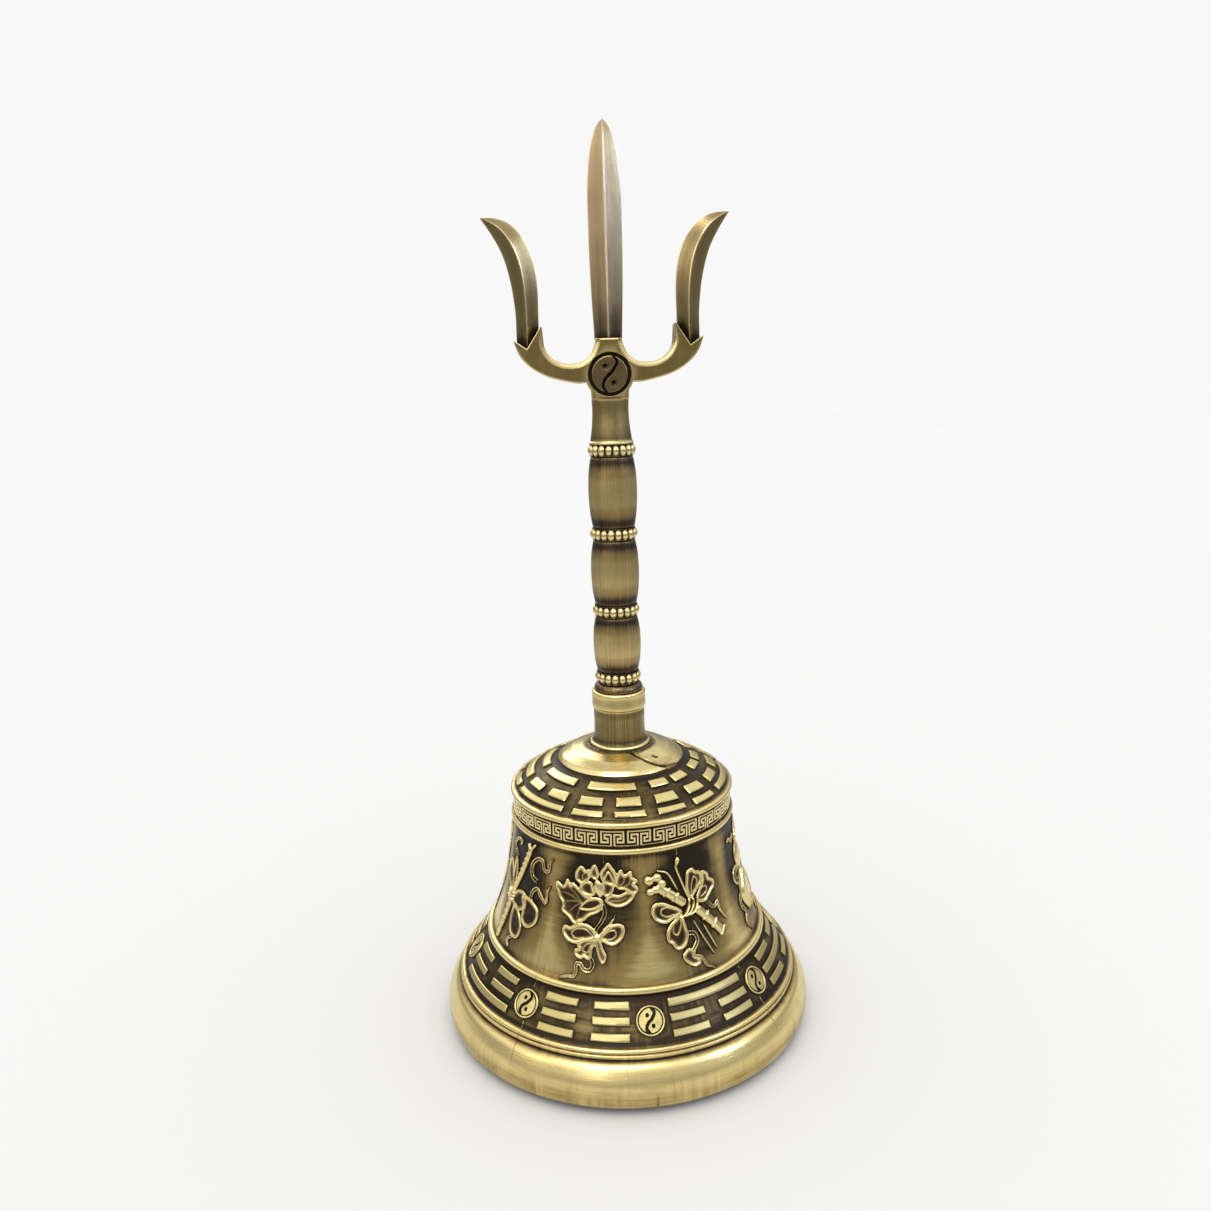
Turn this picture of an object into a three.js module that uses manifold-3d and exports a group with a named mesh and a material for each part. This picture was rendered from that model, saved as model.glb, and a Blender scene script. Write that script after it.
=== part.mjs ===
// A cast brass ritual hand bell: a flared bell with a swinging clapper, carried on a turned and
// beaded handle that ends in a trident. Millimetres, +Z up. The origin is the centre of the mouth,
// in the plane that the lip rests on, and the trident lies in the XZ plane.
import * as THREE from "three";
import { mergeVertices } from "three/addons/utils/BufferGeometryUtils.js";
import Module from "manifold-3d";

// Bell
const LIP_RADIUS = 47.5;
const LIP_HEIGHT = 10.9;
const CROWN_HEIGHT = 72; // top of the bell, where the handle stands
const CROWN_INSIDE = 68.2; // underside of the crown, where the washer bears
const ROD_HOLE = 2.3;

// Handle, from the bell up
const FOOT_TOP = 81.8;
const BAND_TOP = 86.3;
const CUSHION_TOP = 88.3;
const BEAD_RING_CENTRES = [89.8, 106.9, 126.0, 146.2];
const BEAD_RING_HEIGHT = 3;
const BEAD_RING_RADIUS = 5.75;
const BARREL_END_RADIUS = 5.1;
const BARREL_MIDDLE_RADIUS = 6;
const HANDLE_BORE = 2;
const NECK_TOP = 158.2;

// Trident
const BAR_HALF_THICKNESS = 3.5;
const ROUNDEL_HEIGHT = 163.9;
const ROUNDEL_RADIUS = 4.25;
const ROUNDEL_RECESS_RADIUS = 5.1;
const ROUNDEL_RECESS_DEPTH = 1.2;
const BLADE_BASE = 172.1;
const BLADE_TIP = 220.1;
const BLADE_HALF_THICKNESS = 2.8;
const SOCKET_CENTRE = 19.1; // bottom of the V that each prong stands in
const SOCKET_BOTTOM = 170.1;
const SOCKET_GAP = 0.3;
const TENON = { width: 2.6, depth: 2.4, length: 4 };
const TENON_CLEARANCE = 0.3;

// Tie rod and clapper
const ROD_RADIUS = 1.6;
const ROD_TOP = 161.5;
const ROD_HEAD = { radius: 2.8, top: 58, height: 1.6 };
const NUT_HEIGHT = 4.4;
const WASHER_HEIGHT = 1.4;
const PIN_HEIGHT = 51.5;
const PIN_RADIUS = 1;
const STIRRUP_INSIDE = 3.3; // from the axis to the inner face of each leg
const STIRRUP_LEG = 1.5;
const BALL_RADIUS = 7;
const BALL_HEIGHT = 8.3;
const CLAPPER_ROD_RADIUS = 1.25;

const ROUND = 48; // facets round the bell
const TURNED = 24; // facets round the handle

const wasm = await Module();
wasm.setup();

const brass = (color, roughness) =>
  new THREE.MeshStandardMaterial({ color, roughness, metalness: 1 });
const polishedBrass = brass(0xc8b46e, 0.28);
const antiqueBrass = brass(0x967850, 0.42);
const darkBrass = brass(0x5a4632, 0.55);
const steel = brass(0x8d8f92, 0.4);

const bell = new THREE.Group();

function add(name, geometry, material) {
  const mesh = new THREE.Mesh(geometry, material);
  mesh.name = name;
  bell.add(mesh);
}

// A closed surface as a manifold solid: it keeps only its positions, with shared corners merged.
function solid(geometry) {
  const plain = geometry.clone();
  plain.deleteAttribute("normal");
  plain.deleteAttribute("uv");
  const merged = mergeVertices(plain, 1e-4);
  return new wasm.Manifold(
    new wasm.Mesh({
      numProp: 3,
      vertProperties: merged.getAttribute("position").array,
      triVerts: new Uint32Array(merged.index.array),
    }),
  );
}

function geometryOf(manifold) {
  const mesh = manifold.getMesh();
  return new THREE.BufferGeometry()
    .setAttribute("position", new THREE.BufferAttribute(mesh.vertProperties, 3))
    .setIndex(new THREE.BufferAttribute(mesh.triVerts, 1));
}

// Turns a profile of [radius, height] points about the Z axis. The points run up the outside and
// back down the bore or the axis.
function turned(profile, facets = TURNED) {
  const points = [...profile, profile[0]].map(([r, z]) => new THREE.Vector2(r, z));
  return new THREE.LatheGeometry(points, facets).rotateX(Math.PI / 2);
}

// Points on an elliptical arc, from one angle to another in degrees.
function arc([cx, cz], [rx, rz], from, to, steps) {
  return Array.from({ length: steps + 1 }, (_, i) => {
    const angle = THREE.MathUtils.degToRad(from + ((to - from) * i) / steps);
    return [cx + rx * Math.cos(angle), cz + rz * Math.sin(angle)];
  });
}

// Extrudes an outline drawn in the XZ plane so that it is centred on Y = 0.
function plate(outline, halfThickness) {
  const shape = new THREE.Shape(outline.map(([x, z]) => new THREE.Vector2(x, z)));
  return new THREE.ExtrudeGeometry(shape, { depth: 2 * halfThickness, bevelEnabled: false })
    .translate(0, 0, -halfThickness)
    .rotateX(Math.PI / 2);
}

// The bell: a thick bulging lip, a trigram band between two raised rings, a concave waist, a
// meander band between two rims, and a domed crown with a raised disc. The wall is about 3 mm.
function bellShell() {
  const lipShelf = 43.4;
  const lipFoot = 41;
  const lipWidest = 3;
  const outside = [
    ...arc([lipFoot, lipWidest], [LIP_RADIUS - lipFoot, lipWidest], -90, 0, 4),
    ...arc([lipShelf, lipWidest], [LIP_RADIUS - lipShelf, LIP_HEIGHT - lipWidest], 0, 90, 4).slice(1),
    [44.1, 12.3],
    [42.8, 13.8],
    [35.8, 22.4],
    [36.2, 23.8],
    [34.4, 25.4],
    [32.9, 29.1],
    [31.3, 34],
    [29.3, 43.8],
    [28.1, 53.7],
    [28.8, 54.9],
    [27.9, 56],
    [27.9, 60.5],
    [28.3, 61.7],
    [26.2, 63.2],
    [16.2, 68.2],
    [16.1, 69],
    [9.6, CROWN_HEIGHT],
    [ROD_HOLE, CROWN_HEIGHT],
  ];
  const inside = [
    [ROD_HOLE, CROWN_INSIDE],
    [9.5, CROWN_INSIDE],
    [15.5, 65.6],
    [22.6, 61.8],
    [24.6, 59],
    [25.2, 54],
    [26.4, 44],
    [28.2, 35],
    [31, 25.5],
    [34, 19.8],
    [37, 14.4],
    [39, 9],
    [39.7, 3],
    [39.2, 0],
  ];
  return turned([...outside, ...inside], ROUND);
}
add("bell_shell", bellShell(), antiqueBrass);

// The foot: a thin flange on the crown and a slightly waisted tube above it.
add(
  "handle_foot",
  turned([
    [8.1, CROWN_HEIGHT],
    [8.1, CROWN_HEIGHT + 1.2],
    [6.6, CROWN_HEIGHT + 2],
    [6.3, (CROWN_HEIGHT + FOOT_TOP) / 2],
    [6.5, FOOT_TOP],
    [HANDLE_BORE, FOOT_TOP],
    [HANDLE_BORE, CROWN_HEIGHT],
  ]),
  antiqueBrass,
);

// A plain collar with a rounded edge, threaded on the tie rod.
function collar(bottom, top, bottomRadius, topRadius, bulge) {
  const middle = (bottom + top) / 2;
  const middleRadius = (bottomRadius + topRadius) / 2 + bulge;
  return turned([
    [bottomRadius, bottom],
    [middleRadius, middle - (top - bottom) / 5],
    [middleRadius, middle + (top - bottom) / 5],
    [topRadius, top],
    [HANDLE_BORE, top],
    [HANDLE_BORE, bottom],
  ]);
}
add("foot_band", collar(FOOT_TOP, BAND_TOP, 6.5, 6.5, 0.3), polishedBrass);
add("cushion_shoulder", collar(BAND_TOP, CUSHION_TOP, 6.1, 5.2, 0.2), darkBrass);

// Four beaded rings, with a swelling grip barrel between each pair.
const ringBottom = (i) => BEAD_RING_CENTRES[i] - BEAD_RING_HEIGHT / 2;
const ringTop = (i) => BEAD_RING_CENTRES[i] + BEAD_RING_HEIGHT / 2;
BEAD_RING_CENTRES.forEach((_, i) => {
  const bulge = BEAD_RING_RADIUS - BARREL_END_RADIUS;
  const ring = collar(ringBottom(i), ringTop(i), BARREL_END_RADIUS, BARREL_END_RADIUS, bulge);
  add("bead_ring_" + (i + 1), ring, antiqueBrass);
});

function barrel(bottom, top) {
  const steps = 6;
  const swell = Array.from({ length: steps + 1 }, (_, i) => [
    BARREL_END_RADIUS + (BARREL_MIDDLE_RADIUS - BARREL_END_RADIUS) * Math.sin((Math.PI * i) / steps),
    bottom + ((top - bottom) * i) / steps,
  ]);
  return turned([...swell, [HANDLE_BORE, top], [HANDLE_BORE, bottom]]);
}
["lower", "middle", "upper"].forEach((place, i) =>
  add("grip_barrel_" + place, barrel(ringTop(i), ringBottom(i + 1)), polishedBrass),
);

// The neck: a concave column from the top ring to the trident's bar.
add(
  "neck",
  turned([
    [5.3, ringTop(3)],
    [4.5, 152],
    [4.3, 156],
    [4.4, NECK_TOP],
    [HANDLE_BORE, NECK_TOP],
    [HANDLE_BORE, ringTop(3)],
  ]),
  antiqueBrass,
);

// The trident's bar: a flat crescent with a stump for the blade, a V socket at each end, a disc let
// into each face, and a blind hole for the tie rod.
function forkCrossbar() {
  const right = [
    [4.4, NECK_TOP],
    [4.6, 160.2],
    [6.6, 161.8],
    [10.2, 162.6],
    [14.2, 163.4],
    [17.6, 165.1],
    [20.8, 168.2],
    [22.1, 172.1],
    [SOCKET_CENTRE, SOCKET_BOTTOM],
    [15.6, 175.3],
    [15.2, 169.8],
    [13.4, 167.6],
    [10.6, 166.5],
    [8.6, 166.3],
    [5.9, 166.9],
    [3.9, 168.4],
    [2.8, 170.4],
    [2.3, BLADE_BASE],
  ];
  const left = right.map(([x, z]) => [-x, z]).reverse();
  let bar = solid(plate([...right, ...left], BAR_HALF_THICKNESS));
  const recess = new THREE.CylinderGeometry(
    ROUNDEL_RECESS_RADIUS, ROUNDEL_RECESS_RADIUS, 2 * ROUNDEL_RECESS_DEPTH, TURNED,
  );
  const boss = new THREE.CylinderGeometry(
    ROUNDEL_RECESS_RADIUS + 0.6, ROUNDEL_RECESS_RADIUS + 0.6, 2 * BAR_HALF_THICKNESS, TURNED,
  ).translate(0, 0, ROUNDEL_HEIGHT);
  bar = bar.add(solid(boss));
  for (const side of [-1, 1])
    bar = bar.subtract(
      solid(recess.clone().translate(0, side * BAR_HALF_THICKNESS, ROUNDEL_HEIGHT)),
    );
  const rodHole = new THREE.CylinderGeometry(HANDLE_BORE, HANDLE_BORE, 8, 16)
    .rotateX(Math.PI / 2)
    .translate(0, 0, ROD_TOP - 3.5);
  const mortise = new THREE.BoxGeometry(
    TENON.width + 2 * TENON_CLEARANCE,
    TENON.depth + 2 * TENON_CLEARANCE,
    2 * (TENON.length + TENON_CLEARANCE),
  ).translate(0, 0, BLADE_BASE);
  const belowNeck = new THREE.BoxGeometry(30, 30, 10).translate(0, 0, NECK_TOP - 5);
  return geometryOf(
    bar.subtract(solid(rodHole)).subtract(solid(mortise)).subtract(solid(belowNeck)),
  );
}
add("fork_crossbar", forkCrossbar(), antiqueBrass);

for (const [name, side] of [["roundel_front", -1], ["roundel_back", 1]]) {
  const height = ROUNDEL_RECESS_DEPTH;
  add(
    name,
    new THREE.CylinderGeometry(ROUNDEL_RADIUS, ROUNDEL_RADIUS, height, TURNED).translate(
      0,
      side * (BAR_HALF_THICKNESS - height / 2),
      ROUNDEL_HEIGHT,
    ),
    polishedBrass,
  );
}

// A ridged blade through cross-sections, each a flat diamond: [centre, height, half width, half
// thickness]. The first section is closed by a flat face and the last one is the tip.
function ridged(sections) {
  const corners = sections.flatMap(([x, z, halfWidth, halfThickness]) => [
    [x - halfWidth, 0, z],
    [x, -halfThickness, z],
    [x + halfWidth, 0, z],
    [x, halfThickness, z],
  ]);
  const faces = [0, 2, 1, 0, 3, 2];
  const last = sections.length - 1;
  for (let s = 0; s < last; s++)
    for (let k = 0; k < 4; k++) {
      const a = 4 * s + k;
      const b = 4 * s + ((k + 1) % 4);
      faces.push(a, b, b + 4, a, b + 4, a + 4);
    }
  const top = 4 * last;
  faces.push(top, top + 1, top + 2, top, top + 2, top + 3);
  return new THREE.BufferGeometry()
    .setAttribute("position", new THREE.Float32BufferAttribute(corners.flat(), 3))
    .setIndex(faces);
}

const POINT = 0.15; // half width of a tip, which is slightly blunt
function centreBlade() {
  const t = BLADE_HALF_THICKNESS;
  const blade = ridged([
    [0, BLADE_BASE, 3.05, t],
    [0, 180.8, 3.5, t],
    [0, 190, 3.8, t],
    [0, 204.5, 3.9, t],
    [0, 212.4, 3.3, t * 0.9],
    [0, 216.4, 2.35, t * 0.65],
    [0, 218.4, 1.5, t * 0.4],
    [0, BLADE_TIP, POINT, POINT],
  ]);
  const tenon = new THREE.BoxGeometry(TENON.width, TENON.depth, TENON.length + 1).translate(
    0,
    0,
    BLADE_BASE - (TENON.length - 1) / 2,
  );
  return geometryOf(solid(blade).add(solid(tenon)));
}
add("centre_blade", centreBlade(), antiqueBrass);

// A side prong: it stands in its V socket, rises straight and curves outwards to a sharp tip.
function prong(side) {
  const t = BLADE_HALF_THICKNESS;
  const sections = [
    [18.95, SOCKET_BOTTOM - 1, 2.6, t],
    [18.85, 178, 2.65, t],
    [19.1, 184, 3.05, t],
    [19.75, 188.8, 3.25, t],
    [21, 192.3, 3.4, t * 0.95],
    [23.2, 195.6, 3.2, t * 0.8],
    [25.9, 198, 1.75, t * 0.5],
    [28.5, 199.6, POINT, POINT],
  ].map(([x, z, w, h]) => [side * x, z, w, h]);
  const reach = 12;
  const seat = plate(
    [
      [side * (SOCKET_CENTRE - reach * 0.673), SOCKET_BOTTOM + SOCKET_GAP + reach],
      [side * SOCKET_CENTRE, SOCKET_BOTTOM + SOCKET_GAP],
      [side * (SOCKET_CENTRE + reach * 1.5), SOCKET_BOTTOM + SOCKET_GAP + reach],
      [side * (SOCKET_CENTRE + reach * 1.5), BLADE_TIP],
      [side * (SOCKET_CENTRE - reach * 0.673), BLADE_TIP],
    ],
    BAR_HALF_THICKNESS,
  );
  return geometryOf(solid(ridged(sections)).intersect(solid(seat)));
}
add("left_prong", prong(-1), antiqueBrass);
add("right_prong", prong(1), antiqueBrass);

// The tie rod draws the handle down on the crown. Its lower end has a head that carries the
// clapper's swivel.
add(
  "tie_rod",
  turned(
    [
      [0, ROD_HEAD.top - ROD_HEAD.height],
      [ROD_HEAD.radius, ROD_HEAD.top - ROD_HEAD.height],
      [ROD_HEAD.radius, ROD_HEAD.top],
      [ROD_RADIUS, ROD_HEAD.top],
      [ROD_RADIUS, ROD_TOP],
      [0, ROD_TOP],
    ],
    16,
  ),
  steel,
);

const washerBottom = CROWN_INSIDE - WASHER_HEIGHT;
const nutBottom = washerBottom - NUT_HEIGHT;
const aroundRod = (radius, bottom, top, facets) =>
  turned([[radius, bottom], [radius, top], [HANDLE_BORE, top], [HANDLE_BORE, bottom]], facets);
add("crown_washer", aroundRod(6.5, washerBottom, CROWN_INSIDE, TURNED), steel);
add("crown_nut", aroundRod(4.6, nutBottom, washerBottom, 6), steel);

// The clapper's swivel: a stirrup that turns freely on the tie rod's head, with a cross pin.
function swivelStirrup() {
  const plateBottom = ROD_HEAD.top + 0.3;
  const plateTop = plateBottom + 1.5;
  const legBottom = PIN_HEIGHT - 2.5;
  const outside = STIRRUP_INSIDE + STIRRUP_LEG;
  const outline = [
    [-outside, legBottom],
    [-STIRRUP_INSIDE, legBottom],
    [-STIRRUP_INSIDE, plateBottom],
    [STIRRUP_INSIDE, plateBottom],
    [STIRRUP_INSIDE, legBottom],
    [outside, legBottom],
    [outside, plateTop],
    [-outside, plateTop],
  ];
  const rodHole = new THREE.CylinderGeometry(HANDLE_BORE, HANDLE_BORE, 4, 16)
    .rotateX(Math.PI / 2)
    .translate(0, 0, plateTop);
  const pinHole = new THREE.CylinderGeometry(PIN_RADIUS + 0.15, PIN_RADIUS + 0.15, 20, 16)
    .rotateZ(Math.PI / 2)
    .translate(0, 0, PIN_HEIGHT);
  return geometryOf(solid(plate(outline, 2.5)).subtract(solid(rodHole)).subtract(solid(pinHole)));
}
add("swivel_stirrup", swivelStirrup(), antiqueBrass);
add(
  "stirrup_pin",
  new THREE.CylinderGeometry(PIN_RADIUS, PIN_RADIUS, 2 * (STIRRUP_INSIDE + STIRRUP_LEG) + 1, 12)
    .rotateZ(Math.PI / 2)
    .translate(0, 0, PIN_HEIGHT),
  steel,
);

// The clapper: a rod with an eye round the cross pin, and a ball on its lower end.
function clapperRod() {
  const eyeRadius = 2.3;
  const wire = 0.95;
  const eye = new THREE.TorusGeometry(eyeRadius, wire, 8, 16)
    .rotateY(Math.PI / 2)
    .translate(0, 0, PIN_HEIGHT);
  const top = PIN_HEIGHT - eyeRadius;
  const bottom = BALL_HEIGHT - 2;
  const rod = turned(
    [[0, bottom], [CLAPPER_ROD_RADIUS, bottom], [CLAPPER_ROD_RADIUS, top], [0, top]],
    12,
  );
  return geometryOf(solid(eye).add(solid(rod)));
}
add("clapper_rod", clapperRod(), steel);

function clapperBall() {
  const bore = CLAPPER_ROD_RADIUS + 0.15;
  const rise = Math.sqrt(BALL_RADIUS ** 2 - bore ** 2);
  const fromPole = THREE.MathUtils.radToDeg(Math.acos(bore / BALL_RADIUS));
  const seat = BALL_HEIGHT - 2.2;
  return turned([
    [0, BALL_HEIGHT - BALL_RADIUS],
    ...arc([0, BALL_HEIGHT], [BALL_RADIUS, BALL_RADIUS], -70, fromPole, 9),
    [bore, BALL_HEIGHT + rise - 0.5],
    [bore, seat],
    [0, seat],
  ], 20);
}
add("clapper_ball", clapperBall(), antiqueBrass);

export default bell;
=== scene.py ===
"""A cast brass ritual hand bell with a trident handle, finished in antique brass.

The file follows the bell as it is put together: the shell and its cast ornament first, then the
turned handle and the trident, and last the tie rod and the clapper that hang inside.
"""

import math
import random

import bmesh
import bpy
import numpy as np
from mathutils import Matrix, Vector


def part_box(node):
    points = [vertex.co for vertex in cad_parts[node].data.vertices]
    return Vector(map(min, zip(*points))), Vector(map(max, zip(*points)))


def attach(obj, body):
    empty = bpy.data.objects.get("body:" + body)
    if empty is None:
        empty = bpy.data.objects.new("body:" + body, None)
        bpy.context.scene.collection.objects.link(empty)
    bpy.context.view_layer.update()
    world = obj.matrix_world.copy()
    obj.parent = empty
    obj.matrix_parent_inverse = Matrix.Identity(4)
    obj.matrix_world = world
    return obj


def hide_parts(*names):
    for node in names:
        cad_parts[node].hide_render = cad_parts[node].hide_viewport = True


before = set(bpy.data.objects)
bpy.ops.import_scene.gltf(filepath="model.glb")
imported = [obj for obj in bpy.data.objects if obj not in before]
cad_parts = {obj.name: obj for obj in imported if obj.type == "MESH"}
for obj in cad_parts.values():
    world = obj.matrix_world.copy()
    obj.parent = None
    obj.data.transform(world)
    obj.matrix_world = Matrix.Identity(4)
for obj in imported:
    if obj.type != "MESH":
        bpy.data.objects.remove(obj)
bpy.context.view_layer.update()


# ---------------------------------------------------------------- camera, floor and light
# The bell stands on a pale table in a light tent, with five soft lamps round it: a broad one in
# front and above, a warm one on its left, a cool one on its right, and weaker ones before and behind.
EYE = Vector((-0.0082, -0.2434, 0.1607))
LOOK_DOWN = math.radians(12.25)
LOOK_RIGHT = math.radians(1.31)
TILT = math.radians(-1.81)

across = Vector((math.cos(LOOK_RIGHT), -math.sin(LOOK_RIGHT), 0))
forward = Vector((math.sin(LOOK_RIGHT) * math.cos(LOOK_DOWN),
                  math.cos(LOOK_RIGHT) * math.cos(LOOK_DOWN), -math.sin(LOOK_DOWN)))
upward = across.cross(forward)
right_axis = across * math.cos(TILT) + upward * math.sin(TILT)
up_axis = upward * math.cos(TILT) - across * math.sin(TILT)

camera_data = bpy.data.cameras.new("camera")
camera_data.lens = 29.73
camera_data.clip_start = 0.01
camera = bpy.data.objects.new("camera", camera_data)
bpy.context.collection.objects.link(camera)
turn_matrix = Matrix((right_axis, up_axis, -forward)).transposed().to_4x4()
camera.matrix_world = Matrix.Translation(EYE) @ turn_matrix
bpy.context.scene.camera = camera
bpy.context.scene.view_settings.view_transform = "Standard"


def nodes_of(tree):
    """Empties a node tree and gives three functions that add to it: one for any node, and two that
    give the output of a sum and of a smooth ramp. Inputs are filled in order or by name, with a value
    or from another node's output; None leaves one alone."""
    tree.nodes.clear()

    def add(kind, *inputs, named={}, **settings):
        node = tree.nodes.new(kind)
        for key, value in settings.items():
            setattr(node, key, value)
        for key, value in [*enumerate(inputs), *named.items()]:
            if isinstance(value, bpy.types.NodeSocket):
                tree.links.new(value, node.inputs[key])
            elif value is not None:
                node.inputs[key].default_value = value
        return node

    def calc(operation, *inputs, **settings):
        return add("ShaderNodeMath", *inputs, operation=operation, **settings).outputs[0]

    def ramp(value, low, high, first=0.0, last=1.0, kind="SMOOTHSTEP"):
        node = add("ShaderNodeMapRange", value, low, high, first, last, interpolation_type=kind)
        return node.outputs[0]

    return add, calc, ramp


def table_paint():
    """A pale matt table. Only a hand's breadth of it round the bell shows bright in the brass: beyond
    that its colour is painted dark for reflections only, a painted reflection of a dimmer room."""
    material = bpy.data.materials.new("table_paint")
    material.use_nodes = True
    add, calc, ramp = nodes_of(material.node_tree)
    speck = add("ShaderNodeTexNoise", None, None, 40.0, 4.0)
    tone = add("ShaderNodeValToRGB", speck.outputs[0])
    tone.color_ramp.elements[0].color = (0.78, 0.78, 0.775, 1)
    tone.color_ramp.elements[1].color = (0.82, 0.82, 0.815, 1)
    reach = add("ShaderNodeVectorMath", add("ShaderNodeTexCoord").outputs["Object"],
                operation="LENGTH")
    # Painted reflection: in the brass the table goes dark beyond a hand's breadth from the bell.
    far_off = ramp(reach.outputs["Value"], 0.10, 0.55, 0.0, 0.66)
    in_brass = add("ShaderNodeLightPath").outputs["Is Glossy Ray"]
    dark_in_reflections = add("ShaderNodeMixRGB", calc("MULTIPLY", far_off, in_brass), tone.outputs[0],
                 (0.04, 0.038, 0.034, 1))
    paint = add("ShaderNodeBsdfPrincipled", named={
        "Base Color": dark_in_reflections.outputs[0], "Roughness": 0.8, "Specular IOR Level": 0.0})
    add("ShaderNodeOutputMaterial", paint.outputs[0])
    return material


bpy.ops.mesh.primitive_plane_add(size=30, location=(0, 0, -0.0002))
table = bpy.context.object
table.name = "table"
table.data.materials.append(table_paint())

# The tent is brighter overhead than near the table, and a little brighter at the sides. What the
# camera sees of it is an even pale backdrop, and what lights matt surfaces is an even light.
world = bpy.data.worlds.new("light_tent")
bpy.context.scene.world = world
world.use_nodes = True
add, calc, ramp = nodes_of(world.node_tree)
direction = add("ShaderNodeSeparateXYZ", add("ShaderNodeTexCoord").outputs["Generated"]).outputs
side_shade = ramp(calc("ABSOLUTE", direction[0]), 0.35, 0.85, 1.0, 1.1)
height_shade = ramp(direction[2], 0.05, 0.62, 0.36, 1.35)
tent = add("ShaderNodeBackground", None, calc("MULTIPLY", side_shade, height_shade))
backdrop = add("ShaderNodeBackground", (0.94, 0.94, 0.935, 1), 1.0)
even_light = add("ShaderNodeBackground", (1, 1, 1, 1), 1.3)
seen = add("ShaderNodeLightPath").outputs
lighting = add("ShaderNodeMixShader", seen["Is Diffuse Ray"], tent.outputs[0],
               even_light.outputs[0])
shown = add("ShaderNodeMixShader", seen["Is Camera Ray"], lighting.outputs[0],
            backdrop.outputs[0])
add("ShaderNodeOutputWorld", shown.outputs[0])

# The table is lit by the tent alone, so that it is as bright near the bell as far from it.
bell_only = bpy.data.collections.new("lit_by_softboxes")
bell_only.objects.link(table)
bell_only.collection_objects[0].light_linking.link_state = "EXCLUDE"


def soft_light(name, place, aim, size, power, color=(1, 1, 1)):
    light = bpy.data.lights.new(name, "AREA")
    light.shape = "RECTANGLE"
    light.size, light.size_y = size
    light.energy = power
    light.color = color
    lamp = bpy.data.objects.new(name, light)
    lamp.location = place
    lamp.rotation_euler = (Vector(aim) - Vector(place)).to_track_quat("-Z", "Y").to_euler()
    lamp.light_linking.receiver_collection = bell_only
    bpy.context.collection.objects.link(lamp)


soft_light("top_softbox", (-0.12, -0.42, 0.85), (0, 0, 0.06), (0.5, 0.4), 3.4)
soft_light("front_softbox", (-0.32, -0.8, 0.55), (0, 0, 0.09), (0.2, 0.4), 1.0)
soft_light("left_softbox", (-0.72, -0.42, 0.50), (0, 0, 0.16), (0.3, 0.5), 0.45, (1.0, 0.86, 0.70))
soft_light("right_softbox", (0.72, -0.42, 0.58), (0, 0, 0.20), (0.22, 0.5), 2.3, (0.50, 0.65, 1.0))
soft_light("back_softbox", (-0.35, 0.8, 0.6), (0, 0, 0.09), (0.4, 0.5), 2.0)


# ---------------------------------------------------------------- the bell shell
# One brass casting: a bulging lip, a band between two rings, a concave waist, a fret band between
# two rims, and a domed crown. It is turned after casting, then darkened and rubbed bright again.
MM = 0.001
SHELL_SIDES = 224
FILLET_STEPS = 4

lip_low, lip_high = (Vector(corner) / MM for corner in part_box("bell_shell"))
LIP = lip_high.x
CROWN = lip_high.z


def filleted(points):
    """A closed outline of (radius, height, fillet) points, with each corner rounded by its fillet."""
    outline = []
    for i, (r, z, fillet) in enumerate(points):
        here = np.array([r, z])
        before = np.array(points[i - 1][:2]) - here
        after = np.array(points[(i + 1) % len(points)][:2]) - here
        a, b = np.linalg.norm(before), np.linalg.norm(after)
        reach = min(fillet, 0.48 * a, 0.48 * b)
        if reach < 0.01:
            outline.append(here)
            continue
        start, end = here + before / a * reach, here + after / b * reach
        for t in np.linspace(0, 1, FILLET_STEPS + 1):
            outline.append((1 - t) ** 2 * start + 2 * t * (1 - t) * here + t ** 2 * end)
    return np.array(outline)


def evenly(outline, step):
    """Adds points to a closed outline so that no side is longer than the step."""
    points = []
    for here, there in zip(outline, np.roll(outline, -1, axis=0)):
        count = max(1, math.ceil(np.linalg.norm(there - here) / step))
        points += [here + (there - here) * k / count for k in range(count)]
    return np.array(points)


def standing_out(outline, reach=1.2):
    """How far each point of an outline stands out of its surroundings. Above 0 is an edge that is
    rubbed bright, below 0 a hollow that keeps its patina. The outline runs anticlockwise."""
    side = np.linalg.norm(np.roll(outline, -1, axis=0) - outline, axis=1)
    place = np.concatenate([[0], np.cumsum(side)[:-1]])
    apart = np.abs(place[:, None] - place[None, :])
    apart = np.minimum(apart, side.sum() - apart)
    weight = np.exp(-(apart / reach) ** 2) * (side + np.roll(side, 1))[None, :]
    around = weight @ outline / weight.sum(axis=1)[:, None]
    tangent = np.roll(outline, -1, axis=0) - np.roll(outline, 1, axis=0)
    outward = np.stack([tangent[:, 1], -tangent[:, 0]], axis=1)
    outward /= np.linalg.norm(outward, axis=1)[:, None]
    return np.sum((outline - around) * outward, axis=1)


def grid_faces(rows, columns, round_rows=False, round_columns=False):
    """The four-sided faces of a grid of points, closed on itself where it goes round."""
    row = np.arange(rows if round_rows else rows - 1)
    column = np.arange(columns if round_columns else columns - 1)
    r, c = (index.ravel() for index in np.meshgrid(row, column, indexing="ij"))
    next_r, next_c = (r + 1) % rows, (c + 1) % columns
    return np.stack([r * columns + c, r * columns + next_c,
                     next_r * columns + next_c, next_r * columns + c], axis=1)


def capped_faces(rows, columns):
    """The faces of a row of rings, with the first ring and the last one closed over."""
    return [*grid_faces(rows, columns, False, True).tolist(), list(range(columns)),
            list(range((rows - 1) * columns, rows * columns))]


def all_round(count):
    """Evenly spaced angles that go once round."""
    return np.arange(count) * 2 * math.pi / count


def about_axis(radius, height, angle):
    """Points round the bell's axis. An angle of 0 is the front."""
    return np.stack([radius * np.sin(angle), -radius * np.cos(angle), height + 0 * angle],
                    axis=-1)


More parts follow.
